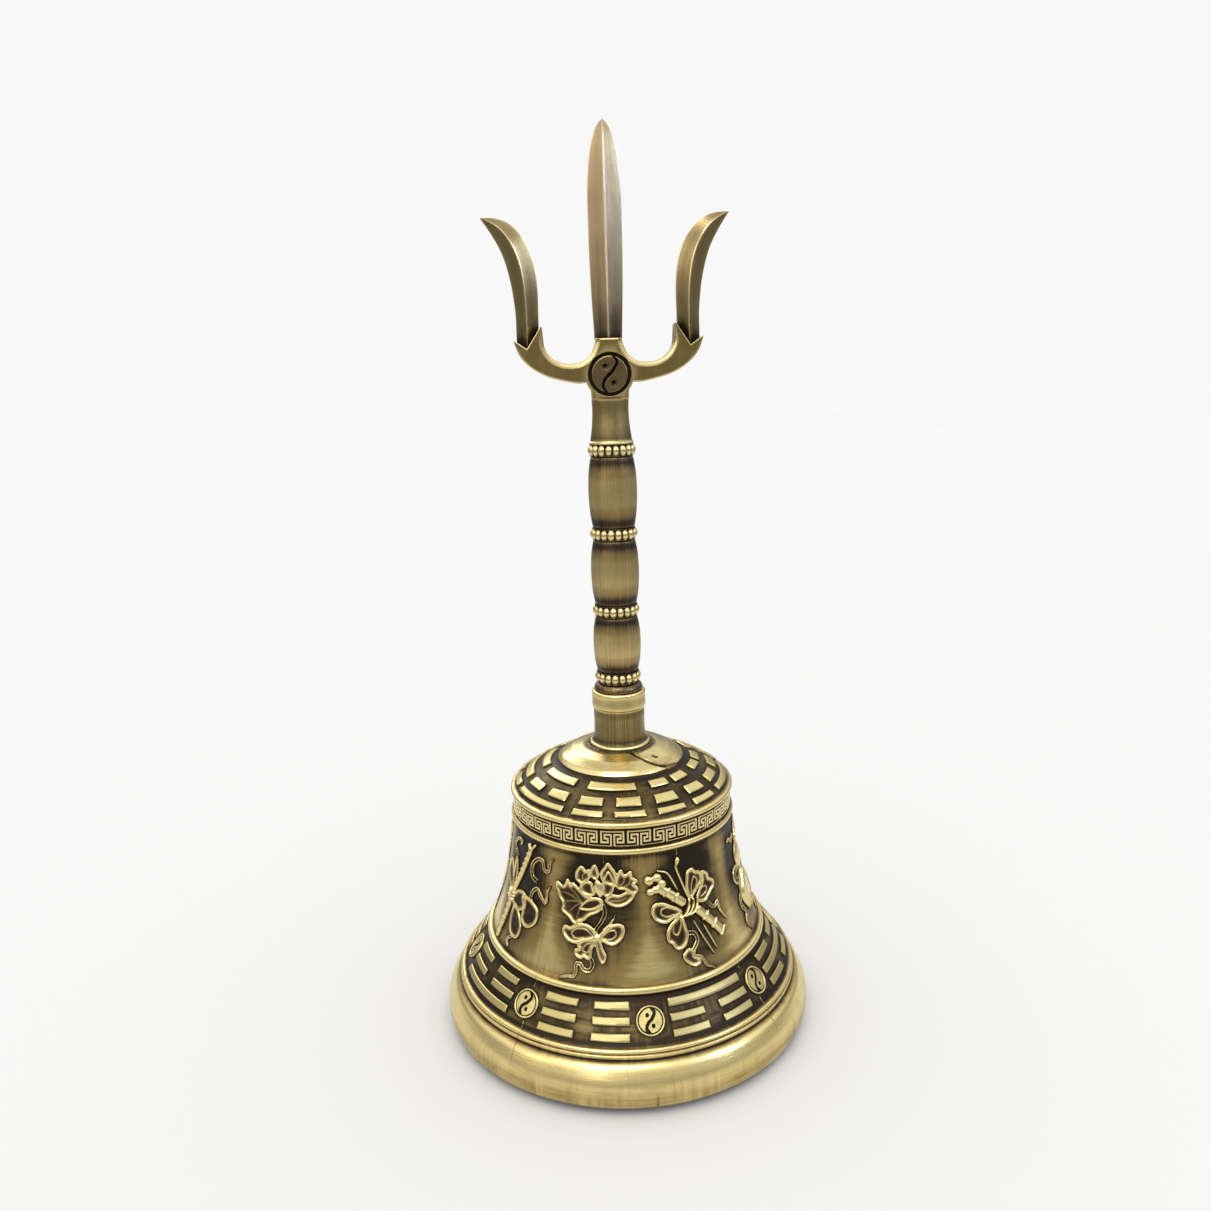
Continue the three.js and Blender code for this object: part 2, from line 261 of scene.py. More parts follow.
def joined(parts):
    """Several (points, faces, wear) parts as one."""
    points, faces, wear = [], [], []
    count = 0
    for part_points, part_faces, part_wear in parts:
        points.append(part_points)
        faces += [[int(corner) + count for corner in face] for face in part_faces]
        wear.append(part_wear)
        count += len(part_points)
    return np.concatenate(points), faces, np.concatenate(wear)


def piece(name, part, body, material, crease=38):
    """A mesh piece from a part in millimetres. It rides on a body and carries its own wear, from 0
    for a hollow that keeps its patina to 1 for a rubbed edge."""
    points, faces, wear = part
    mesh = bpy.data.meshes.new(name)
    mesh.from_pydata((np.asarray(points) * MM).tolist(), [], [list(map(int, f)) for f in faces])
    mesh.attributes.new("wear", "FLOAT", "POINT").data.foreach_set(
        "value", np.clip(wear, 0, 1).astype(np.float32))
    work = bmesh.new()
    work.from_mesh(mesh)
    bmesh.ops.remove_doubles(work, verts=work.verts, dist=1e-6)
    bmesh.ops.recalc_face_normals(work, faces=work.faces)
    work.to_mesh(mesh)
    work.free()
    mesh.shade_smooth()
    mesh.set_sharp_from_angle(angle=math.radians(crease))
    mesh.materials.append(material)
    made = bpy.data.objects.new(name, mesh)
    bpy.context.collection.objects.link(made)
    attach(made, body)
    return made


def plain_wear(radius, height, angle):
    return 0.5 + 0 * radius * angle


def turned(profile, step=0.5, sides=96, wear=plain_wear, gain=1.5):
    """Turns a closed profile of (radius, height, fillet) points about the bell's axis. The profile
    runs anticlockwise: up the outside and back down the bore."""
    outline = evenly(filleted(profile), step)
    angle = all_round(sides)
    radius, height = outline[:, :1], outline[:, 1:]
    points = about_axis(radius, height, angle).reshape(-1, 3)
    worn = wear(radius, height, angle) + gain * standing_out(outline)[:, None]
    return points, grid_faces(len(outline), sides, True, True), worn.ravel()


def shader_group(name, sockets):
    """A new node group, from (name, kind, whether it is an input) sockets."""
    tree = bpy.data.node_groups.new(name, "ShaderNodeTree")
    for label, kind, into in sockets:
        tree.interface.new_socket(label, in_out="INPUT" if into else "OUTPUT",
                                  socket_type="NodeSocket" + kind)
    return tree


def worn_patina_group():
    """Patina that stays in hollows and is rubbed through on edges. Wear and Shelter run from 0 to 1;
    Shelter is 1 in the open and falls where neighbouring metal crowds in."""
    tree = shader_group("worn_patina", [
        *((label, "Color", True) for label in ("Rubbed", "Body", "Patina")),
        *((label, "Float", True) for label in ("Wear", "Shelter", "Mottle size", "Mottle",
                                               "Smoothest", "Roughest")),
        ("Colour", "Color", False), ("Roughness", "Float", False)])
    add, calc, ramp = nodes_of(tree)
    given = add("NodeGroupInput").outputs
    cloud = add("ShaderNodeTexNoise", add("ShaderNodeTexCoord").outputs["Object"], None,
                given["Mottle size"], 5.0, 0.6)
    clouded = calc("MULTIPLY", calc("SUBTRACT", cloud.outputs[0], 0.5), given["Mottle"])
    crowded = ramp(given["Shelter"], 0.25, 0.95, -0.5, 0.0, "LINEAR")
    total = calc("ADD", calc("ADD", given["Wear"], clouded), crowded, use_clamp=True)
    cleared = add("ShaderNodeMix", ramp(total, 0.06, 0.5), data_type="RGBA",
                  named={6: given["Patina"], 7: given["Body"]})
    bared = add("ShaderNodeMix", ramp(total, 0.45, 0.85), data_type="RGBA",
                named={6: cleared.outputs[2], 7: given["Rubbed"]})
    gloss = ramp(total, 0.0, 0.85, given["Roughest"], given["Smoothest"], "LINEAR")
    add("NodeGroupOutput", bared.outputs[2], gloss)
    return tree


def brushing_group():
    """Fine brush lines. Round runs them round the bell's axis and Upright runs them along it; where
    Patches is 1, the two take turns from patch to patch. It puts out Lines, a height for a bump, and
    Streaks, a broader streak of the same direction, both about 0."""
    tree = shader_group("brushing", [
        *((label, "Float", True) for label in ("Round", "Upright", "Patches")),
        *((label, "Float", False) for label in ("Lines", "Streaks"))])
    add, calc, ramp = nodes_of(tree)
    given = add("NodeGroupInput").outputs
    where = add("ShaderNodeTexCoord").outputs["Object"]
    split = add("ShaderNodeSeparateXYZ", where).outputs
    flat = add("ShaderNodeCombineXYZ", split[0], split[1])
    unit = add("ShaderNodeVectorMath", flat.outputs[0], operation="NORMALIZE")
    unit = add("ShaderNodeSeparateXYZ", unit.outputs[0]).outputs

    def lines(around, along):
        """Noise stretched by its numbers of lines round the axis and per metre along it."""
        place = add("ShaderNodeCombineXYZ", calc("MULTIPLY", unit[0], around),
                    calc("MULTIPLY", unit[1], around), calc("MULTIPLY", split[2], along))
        noise = add("ShaderNodeTexNoise", place.outputs[0], None, 1.0, 3.0, 0.65)
        return calc("SUBTRACT", noise.outputs[0], 0.5)

    cloud = add("ShaderNodeTexNoise", where, None, 95.0, 2.0).outputs[0]
    least = calc("SUBTRACT", 1.0, given["Patches"])
    round_share = calc("MULTIPLY", given["Round"], ramp(cloud, 0.42, 0.56, least, 1.0))
    upright_share = calc("MULTIPLY", given["Upright"], ramp(cloud, 0.42, 0.56, 1.0, least))

    def blend(round_one, upright_one):
        return calc("ADD", calc("MULTIPLY", round_one, round_share),
                    calc("MULTIPLY", upright_one, upright_share))

    add("NodeGroupOutput", blend(lines(4.0, 3600.0), lines(170.0, 45.0)),
        blend(lines(2.2, 900.0), lines(42.0, 16.0)))
    return tree


WORN_PATINA = worn_patina_group()
BRUSHING = brushing_group()
PALE_GOLD = (0.79, 0.665, 0.31, 1)
WARM_BRASS = (0.34, 0.24, 0.085, 1)
OLD_PATINA = (0.031, 0.023, 0.015, 1)


def brass(name, rubbed=PALE_GOLD, body=WARM_BRASS, patina=OLD_PATINA, round_brush=0.7,
          upright_brush=0.3, smoothest=0.22, roughest=0.5, streak=0.35, mottle=0.25,
          mottle_size=160.0, relief=0.00006, shelter_reach=0.0022, patches=0.0):
    """Antique brass: bare metal under a patina whose wear comes from the piece's own wear, streaked
    and grooved by the brush."""
    material = bpy.data.materials.new(name)
    material.use_nodes = True
    add, calc, ramp = nodes_of(material.node_tree)
    brush = add("ShaderNodeGroup", node_tree=BRUSHING, named={
        "Round": round_brush, "Upright": upright_brush, "Patches": patches}).outputs
    wear = add("ShaderNodeAttribute", attribute_name="wear").outputs["Fac"]
    shelter = add("ShaderNodeAmbientOcclusion", samples=6, named={"Distance": shelter_reach})
    finish = add("ShaderNodeGroup", node_tree=WORN_PATINA, named={
        "Wear": calc("ADD", wear, calc("MULTIPLY", brush["Streaks"], streak)),
        "Shelter": shelter.outputs["AO"], "Rubbed": rubbed, "Body": body, "Patina": patina,
        "Mottle": mottle, "Mottle size": mottle_size, "Smoothest": smoothest,
        "Roughest": roughest}).outputs
    bump = add("ShaderNodeBump", named={
        "Strength": 0.6, "Distance": relief, "Height": brush["Lines"]})
    metal = add("ShaderNodeBsdfPrincipled", named={
        "Metallic": 1.0, "Base Color": finish["Colour"], "Roughness": finish["Roughness"],
        "Normal": bump.outputs[0]})
    add("ShaderNodeOutputMaterial", metal.outputs[0])
    return material


# The wall as (radius, height, fillet): crown, rims and fret band, waist, ornament band, lip, and
# then back up inside.
outer_wall = [
    (2.3, CROWN - 0.6, 0), (9.6, CROWN - 0.6, 0.4), (15.4, 69.0, 0.5), (16.3, 68.2, 0.4),
    (21.8, 66.0, 6.0), (26.9, 62.7, 0.6), (27.2, 62.2, 0.3), (28.4, 62.0, 0.5), (28.5, 61.0, 0.5),
    (27.6, 60.6, 0.2), (27.6, 55.9, 0.2), (28.55, 55.6, 0.4), (28.65, 54.6, 0.5),
    (27.9, 54.0, 1.0), (29.1, 44.5, 20.0), (31.2, 34.4, 16.0), (34.7, 25.2, 0.8),
    (35.1, 24.6, 0.2), (36.1, 24.5, 0.45), (36.5, 23.5, 0.45), (36.0, 22.6, 0.4),
    (42.35, 14.4, 0.4), (42.8, 14.0, 0.2), (43.6, 13.9, 0.35), (43.9, 13.3, 0.35),
    (43.6, 12.85, 0.2), (44.1, 12.7, 0.3), (44.1, 11.9, 0.4), (43.8, 11.55, 0.25),
    (45.4, 10.6, 2.2), (LIP + 0.1, 6.6, 4.5), (LIP - 0.1, 0.9, 3.2), (42.5, 0, 2.4),
]
inner_wall = [
    (39.2, 0, 0.6), (39.7, 3, 4.0), (39.0, 9, 8.0), (37.0, 14.4, 5), (31.0, 25.5, 10),
    (28.2, 35, 10), (25.2, 54, 8), (24.6, 59, 4), (22.6, 61.8, 3), (15.5, 65.6, 3),
    (9.5, 68.2, 1.5), (2.3, 68.2, 0),
]
wall_line = filleted(outer_wall + inner_wall)
wall_line = wall_line[:np.argmax(wall_line[:, 0]) + 1][::-1]
WALL_HEIGHT = np.linspace(wall_line[0, 1], wall_line[-1, 1], 3000)
WALL_RADIUS = np.interp(WALL_HEIGHT, wall_line[:, 1], wall_line[:, 0])
WALL_SLOPE = np.gradient(np.convolve(np.pad(WALL_RADIUS, 20, "edge"), np.ones(41) / 41, "valid"),
                         WALL_HEIGHT)
EMBLEM_HEIGHT = 39.0
FIRST_EMBLEM = math.radians(30)


def wall_radius(height):
    return np.interp(height, WALL_HEIGHT, WALL_RADIUS)


def shell_wear(radius, height, angle):
    """Patina stays on the sunk grounds and round the emblems; the lip and the waist are rubbed."""
    # The lip is painted darker towards its bottom edge: a painted reflection of a darker floor below
    # it.
    worn = np.interp(height, [0, 4.5, 10.2, 11.5, 13.7, 14.3, 22.8, 24.0, 25.5, 33, 45, 53.5, 54.6,
                              55.6, 56.1, 60.5, 61.0, 62.1, 62.5, 68.2, 69.0],
                     [0.44, 0.60, 0.84, 0.5, 0.66, 0.17, 0.17, 0.64, 0.76, 0.88, 0.72, 0.46, 0.62,
                      0.5, 0.03, 0.03, 0.55, 0.62, 0.17, 0.17, 0.45])
    inside = (radius < wall_radius(height) - 1.2) & (height < 70)
    worn = np.where(inside, 0.3, worn) + 0 * angle
    aside = (angle - FIRST_EMBLEM + math.pi / 8) % (math.pi / 4) - math.pi / 8
    far = np.hypot(aside * 30 / 11.6, (height - EMBLEM_HEIGHT - 1.0) / 15.4)
    halo = 0.66 * np.exp(-far ** 6) * (~inside) * (height > 24.6) * (height < 54)
    return worn - halo


shell_brass = brass("shell_brass", rubbed=(0.79, 0.63, 0.275, 1), round_brush=0.9,
                    upright_brush=0.9, patches=1.0, smoothest=0.27, roughest=0.5, streak=0.5,
                    mottle=0.34, mottle_size=110.0)
bell_casting = piece("bell_casting",
                     turned((outer_wall + inner_wall)[::-1], step=0.66, sides=SHELL_SIDES,
                            wear=shell_wear),
                     "bell", shell_brass)
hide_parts("bell_shell")


# ---------------------------------------------------------------- the crown disc
# A raised disc cast on the crown round the handle's foot, with one S line sunk across it and an
# eye in each half.
SINK = 0.3


def on_wall(angle, height, proud):
    """Points that stand proud of the wall, at an angle round the axis and a height on the wall."""
    slope = np.interp(height, WALL_HEIGHT, WALL_SLOPE)
    lean = np.hypot(1, slope)
    return about_axis(wall_radius(height) + proud / lean, height - proud * slope / lean, angle)


def cast_on(angle, height, proud, wear):
    """A grid cast on the wall: raised where it is proud, and cut away where it is at -SINK. Its
    back lies under the surface, so that the part is closed."""
    rows, columns = proud.shape
    count = rows * columns
    top = on_wall(angle, height, proud).reshape(-1, 3)
    back = on_wall(angle, height, np.full_like(proud, -SINK)).reshape(-1, 3)
    faces = grid_faces(rows, columns)
    faces = faces[(proud.ravel()[faces] > -SINK).any(axis=1)]
    used = np.unique(faces)
    number = np.full(count, -1)
    number[used] = np.arange(len(used))
    faces = number[faces]
    return (np.concatenate([top[used], back[used]]),
            np.concatenate([faces, faces[:, ::-1] + len(used)]),
            np.concatenate([wear.ravel()[used], np.zeros(len(used))]))


def spline(a, b, c, d, t):
    """The smooth curve from b to c at a share t of the way, with a before it and d after it."""
    return 0.5 * (2 * b + (c - a) * t + (2 * a - 5 * b + 4 * c - d) * t ** 2
                  + (3 * b - a - 3 * c + d) * t ** 3)


def smooth_line(points, step=0.12, closed=False):
    """A smooth curve through given points, sampled about every step."""
    points = np.array(points, float)
    ends = [points[-1], points[0], points[1]] if closed else [2 * points[0] - points[1],
                                                               2 * points[-1] - points[-2]]
    padded = np.concatenate([[ends[0]], points, ends[1:]])
    line = []
    for a, b, c, d in zip(padded, padded[1:], padded[2:], padded[3:]):
        count = max(2, math.ceil(np.linalg.norm(c - b) / step))
        line.append(spline(a, b, c, d, np.arange(count)[:, None] / count))
    if not closed:
        line.append(points[-1:])
    return np.concatenate(line)


def near(u, v, line):
    """The distance from each point of a grid to a sampled line."""
    apart = np.full(u.shape, 1e9)
    for x, y in line:
        apart = np.minimum(apart, (u - x) ** 2 + (v - y) ** 2)
    return np.sqrt(apart)


DISC_RADIUS = 16.1
DISC_LINE = [(math.radians(angle), radius) for angle, radius in
             ((14, 8.2), (20, 10.4), (27, 12.8), (36, 14.6), (47, 15.7), (58, 16.2))]
DISC_EYE = (math.radians(42), 12.2)

disc_radius, disc_angle = np.meshgrid(
    np.concatenate([np.linspace(7.6, 15.6, 56), [15.75, 15.9, 16.0, DISC_RADIUS]]),
    np.linspace(0, 2 * math.pi, 541), indexing="ij")
disc_x, disc_y = disc_radius * np.sin(disc_angle), disc_radius * np.cos(disc_angle)
disc_top = np.interp(disc_radius, [7.6, 9.6, 12.5, 15.0, 15.7, 16.0, DISC_RADIUS],
                     [CROWN, CROWN - 0.1, 71.15, 69.75, 69.1, 68.7, 68.0])
sunk = np.zeros_like(disc_top)
for half_turn in (0, math.pi):
    line = smooth_line([(radius * math.sin(angle + half_turn), radius * math.cos(angle + half_turn))
                        for angle, radius in DISC_LINE], step=0.2)
    sunk = np.maximum(sunk, 0.42 * np.exp(-(near(disc_x, disc_y, line) / 0.42) ** 4))
    eye_x = DISC_EYE[1] * math.sin(DISC_EYE[0] + half_turn)
    eye_y = DISC_EYE[1] * math.cos(DISC_EYE[0] + half_turn)
    eye = np.hypot((disc_x - eye_x) / 0.75, (disc_y - eye_y) / 0.55)
    sunk = np.maximum(sunk, 0.45 * np.exp(-eye ** 4))
disc_wear = 0.66 - 1.5 * sunk + 0.12 * (disc_radius > 15.2) - 0.3 * (disc_radius < 9.2)
disc_wear = np.where(disc_radius > 15.95, 0.1, disc_wear)
disc_rows, disc_columns = disc_top.shape
disc_points = np.stack([disc_x, -disc_y, disc_top - sunk], axis=2)[:, :-1].reshape(-1, 3)
floor_ring = np.stack([disc_x, -disc_y, 0 * disc_x + 67.4], axis=2)[[0, -1], :-1].reshape(-1, 3)
disc_faces = grid_faces(disc_rows, disc_columns - 1, False, True)
ring_faces = grid_faces(2, disc_columns - 1, False, True) + len(disc_points)
inner_ring = np.arange(disc_columns - 1)
outer_ring = inner_ring + (disc_rows - 1) * (disc_columns - 1)
floor_in = inner_ring + len(disc_points)
floor_out = floor_in + disc_columns - 1
side_faces = [np.stack([low, np.roll(low, -1), np.roll(high, -1), high], axis=1)
              for low, high in ((inner_ring, floor_in), (outer_ring, floor_out))]
disc_part = (np.concatenate([disc_points, floor_ring]),
             np.concatenate([disc_faces, ring_faces] + side_faces),
             np.concatenate([disc_wear[:, :-1].ravel(), np.zeros(len(floor_ring))]))
disc_brass = brass("disc_brass", round_brush=0.9, upright_brush=0.1, smoothest=0.2, roughest=0.5)
piece("crown_disc", disc_part, "bell", disc_brass)


# ---------------------------------------------------------------- trigrams of crown and band
# Eight signs of three bars on the crown and eight more on the band above the lip, cast in one with
# the wall. A whole bar is one pad and a broken bar two; their tops are rubbed to pale gold.
SIGNS = {"thunder": (1, 0, 0), "earth": (0, 0, 0), "mountain": (0, 0, 1), "water": (0, 1, 0),
         "wind": (0, 1, 1), "heaven": (1, 1, 1), "lake": (1, 1, 0), "fire": (1, 0, 1)}
dice = random.Random(8)


def bar(first, last, low, high, proud):
    """One cast bar between two angles and two heights on the wall, with a worn edge all round."""
    radius = wall_radius((low + high) / 2)
    length = radius * (last - first)
    width = np.hypot(high - low, wall_radius(high) - wall_radius(low))
    shares, levels = [], []
    for size, steps in ((length, max(2, round(length / 0.7))), (width, 3)):
        edge, shoulder = 0.06 / size, 0.26 / size
        shares.append(np.array([0, edge, shoulder, *np.linspace(0, 1, steps + 1)[1:-1],
                                1 - shoulder, 1 - edge, 1]))
        levels.append(np.array([-SINK, proud - 0.16] + [proud] * (len(shares[-1]) - 4)
                               + [proud - 0.16, -SINK]))
    along, up = np.meshgrid(*shares, indexing="ij")
    level = np.minimum(levels[0][:, None], levels[1][None, :])
    corners = [[dice.uniform(-0.14, 0.14) for _ in range(4)] for _ in range(2)]
    shift = [(1 - along) * (1 - up) * c[0] + along * (1 - up) * c[1]
             + (1 - along) * up * c[2] + along * up * c[3] for c in corners]
    angle = first + (last - first) * along + shift[0] / radius
    height = low + (high - low) * up + shift[1] * (high - low) / width
    wear = np.where(level >= proud, 0.86, np.where(level > 0, 0.95, 0.05))
    return cast_on(angle, height, level, wear)


def trigram(middle, rows, lines, proud):
    """Three rows, each (low, high, half the angle of a bar, half the angle of its gap)."""
    parts = []
    for whole, (low, high, reach, gap) in zip(lines, rows):
        spans = [(-reach, reach)] if whole else [(-reach, -gap), (gap, reach)]
        for first, last in spans:
            parts.append(bar(math.radians(middle + first), math.radians(middle + last),
                             low, high, proud))
    return joined(parts)


def crown_level(radius):
    """The height of the crown's slope at a radius."""
    slope = WALL_HEIGHT > 62.8
    return float(np.interp(-radius, -WALL_RADIUS[slope], WALL_HEIGHT[slope]))


SIGN_FINISH = {"round_brush": 0.3, "upright_brush": 0.4, "roughest": 0.6, "mottle_size": 420.0,
               "shelter_reach": 0.0008}
bar_brass = brass("bar_brass", rubbed=(0.72, 0.60, 0.26, 1), body=(0.42, 0.31, 0.115, 1),
                  smoothest=0.3, streak=0.5, mottle=0.6, **SIGN_FINISH)
band_bar_brass = brass("band_bar_brass", rubbed=(0.50, 0.41, 0.175, 1),
                       body=(0.32, 0.235, 0.09, 1), smoothest=0.4, streak=0.6, mottle=0.7,
                       **SIGN_FINISH)
CROWN_ROWS = [(crown_level(20.0), crown_level(17.8), 17.0, 2.6),
              (crown_level(24.2), crown_level(22.0), 18.2, 4.0),
              (crown_level(26.8), crown_level(25.3), 19.4, 3.1)]
BAND_ROWS = [(14.9, 16.35, 15.6, 2.9), (17.55, 19.0, 15.6, 2.9), (20.25, 21.7, 15.6, 2.9)]
for k, (sign, lines) in enumerate(SIGNS.items()):
    piece("crown_sign_" + sign, trigram(45 * k - 9, CROWN_ROWS, lines, 0.6),
          "bell", bar_brass)
    piece("band_sign_" + sign, trigram(45 * k - 62, BAND_ROWS, lines, 0.55),
          "bell", band_bar_brass)


# ---------------------------------------------------------------- roundels of the band
# A small rimmed disc between each pair of signs, its two halves parted by a sunk S line.
ROUNDEL = 3.4
S_LINE = [(0.20, 1.0), (0.42, 0.66), (0.16, 0.16), (-0.26, -0.26), (-0.38, -0.66), (-0.2, -1.0)]
S_EYES = [(-0.24, 0.44), (0.2, -0.44)]
ROUNDEL_HEIGHT = 18.3

roundel_u, roundel_v = np.meshgrid(np.linspace(-3.6, 3.6, 61), np.linspace(-3.6, 3.6, 61),
                                   indexing="ij")
from_middle = np.hypot(roundel_u, roundel_v)
roundel_proud = np.where(from_middle < 2.72, 0.44, 0.12)
roundel_proud = np.maximum(roundel_proud,
                           0.55 * np.sqrt(np.clip(1 - ((from_middle - 3.13) / 0.3) ** 2, 0, 1)))
s_gap = near(roundel_u, roundel_v, smooth_line([(x * 2.6, y * 2.6) for x, y in S_LINE]))
roundel_proud = np.where((s_gap < 0.34) & (from_middle < 2.8), 0.08, roundel_proud)
for x, y in S_EYES:
    roundel_proud = np.where(np.hypot(roundel_u - x * 2.7, roundel_v - y * 2.7) < 0.42, 0.1,
                             roundel_proud)
roundel_proud = np.where(from_middle < ROUNDEL + 0.02, roundel_proud, -SINK)
roundel_wear = np.interp(roundel_proud, [-SINK, 0.12, 0.3, 0.44, 0.52], [0, 0.05, 0.4, 0.72, 1])
band_lean = math.hypot(1, float(np.interp(ROUNDEL_HEIGHT, WALL_HEIGHT, WALL_SLOPE)))
band_radius = wall_radius(ROUNDEL_HEIGHT)
for k in range(8):
    piece("band_roundel_" + str(k + 1),
          cast_on(math.radians(45 * k + 5.5) + roundel_u / band_radius,
                  ROUNDEL_HEIGHT + roundel_v / band_lean, roundel_proud, roundel_wear),
          "bell", bar_brass)


# ---------------------------------------------------------------- the fret
# One raised line that runs right round the band under the crown, turning back on itself in square
# hooks. It is cast with the wall, on a dark ground between two rims.
FRET_PERIODS = 28
FRET_LOW, FRET_HIGH = 56.35, 60.1
FRET_MIDDLE = 58
FRET_LINE = 0.56
FRET_PROUD = 0.38
FRET_START = math.radians(-0.6)
# Corners over one period, as (share of the period, share of the height), going to the left.
FRET_CORNERS = [(0.082, 1), (0.916, 1), (0.916, 0.27), (0.668, 0.27), (0.668, 0.52), (0.787, 0.52),
                (0.787, 0.78), (0.549, 0.78), (0.549, 0), (1.423, 0), (1.423, 0.78), (1.182, 0.78),
                (1.182, 0.52), (1.302, 0.52), (1.302, 0.27), (1.082, 0.27)]

fret_radius = wall_radius(FRET_MIDDLE)
fret_period = 2 * math.pi * fret_radius / FRET_PERIODS
fret_path = [(-(k + share) * fret_period, FRET_LOW + level * (FRET_HIGH - FRET_LOW))
             for k in range(FRET_PERIODS) for share, level in FRET_CORNERS]
fret_end = (-(FRET_PERIODS + FRET_CORNERS[0][0]) * fret_period, FRET_HIGH)
places, sideways_by = [], []
corners = np.array(fret_path + [fret_end])
before = corners[0] - (np.array(fret_path[-1]) + [FRET_PERIODS * fret_period, 0])
for here, there in zip(corners, corners[1:]):
    after = there - here
    into = np.array([-before[1], before[0]]) / np.linalg.norm(before)
    out_of = np.array([-after[1], after[0]]) / np.linalg.norm(after)
    places.append(here)
    sideways_by.append(into + out_of)
    pieces_of_side = math.ceil(np.linalg.norm(after) / 0.9)
    for k in range(1, pieces_of_side):
        places.append(here + after * k / pieces_of_side)
        sideways_by.append(out_of)
    before = after
places, sideways_by = np.array(places)[:, None], np.array(sideways_by)[:, None]
half = FRET_LINE / 2
section = np.array([(-half - 0.03, -SINK), (-half, FRET_PROUD - 0.14), (-half + 0.1, FRET_PROUD),
                    (half - 0.1, FRET_PROUD), (half, FRET_PROUD - 0.14), (half + 0.03, -SINK)])
spread = places + sideways_by * section[None, :, :1]
fret_points = on_wall(FRET_START + spread[..., 0] / fret_radius, spread[..., 1],
                      section[None, :, 1] + 0 * spread[..., 0])
fret_wear = np.tile([0.0, 0.5, 0.95, 0.95, 0.5, 0.0], len(places))
fret_brass = brass("fret_brass", rubbed=(0.80, 0.66, 0.34, 1), smoothest=0.3, roughest=0.6,
                   mottle=0.35, mottle_size=400.0, shelter_reach=0.0005, streak=0.1)
piece("fret_line", (fret_points.reshape(-1, 3), grid_faces(len(places), 6, True, True), fret_wear),
      "bell", fret_brass)


# ---------------------------------------------------------------- the eight emblems
# Ribboned emblems in low relief, one every eighth of the way round the waist: flute, lotus, fish
# drum, gourd, fan, basket, sword and clappers. Each is cast with the wall and rubbed bright on top.
EMBLEM_STEP = 0.17
RIDGE_SPREAD = 1.05
THINNEST_RIDGE = 0.27
emblem_brass = brass("emblem_brass", rubbed=(0.80, 0.65, 0.30, 1), body=(0.22, 0.15, 0.06, 1),
                     patina=(0.022, 0.015, 0.013, 1), round_brush=0.2, upright_brush=0.2,
                     smoothest=0.26, roughest=0.6, streak=0.1, mottle=0.3, mottle_size=500.0,
                     shelter_reach=0.0009)


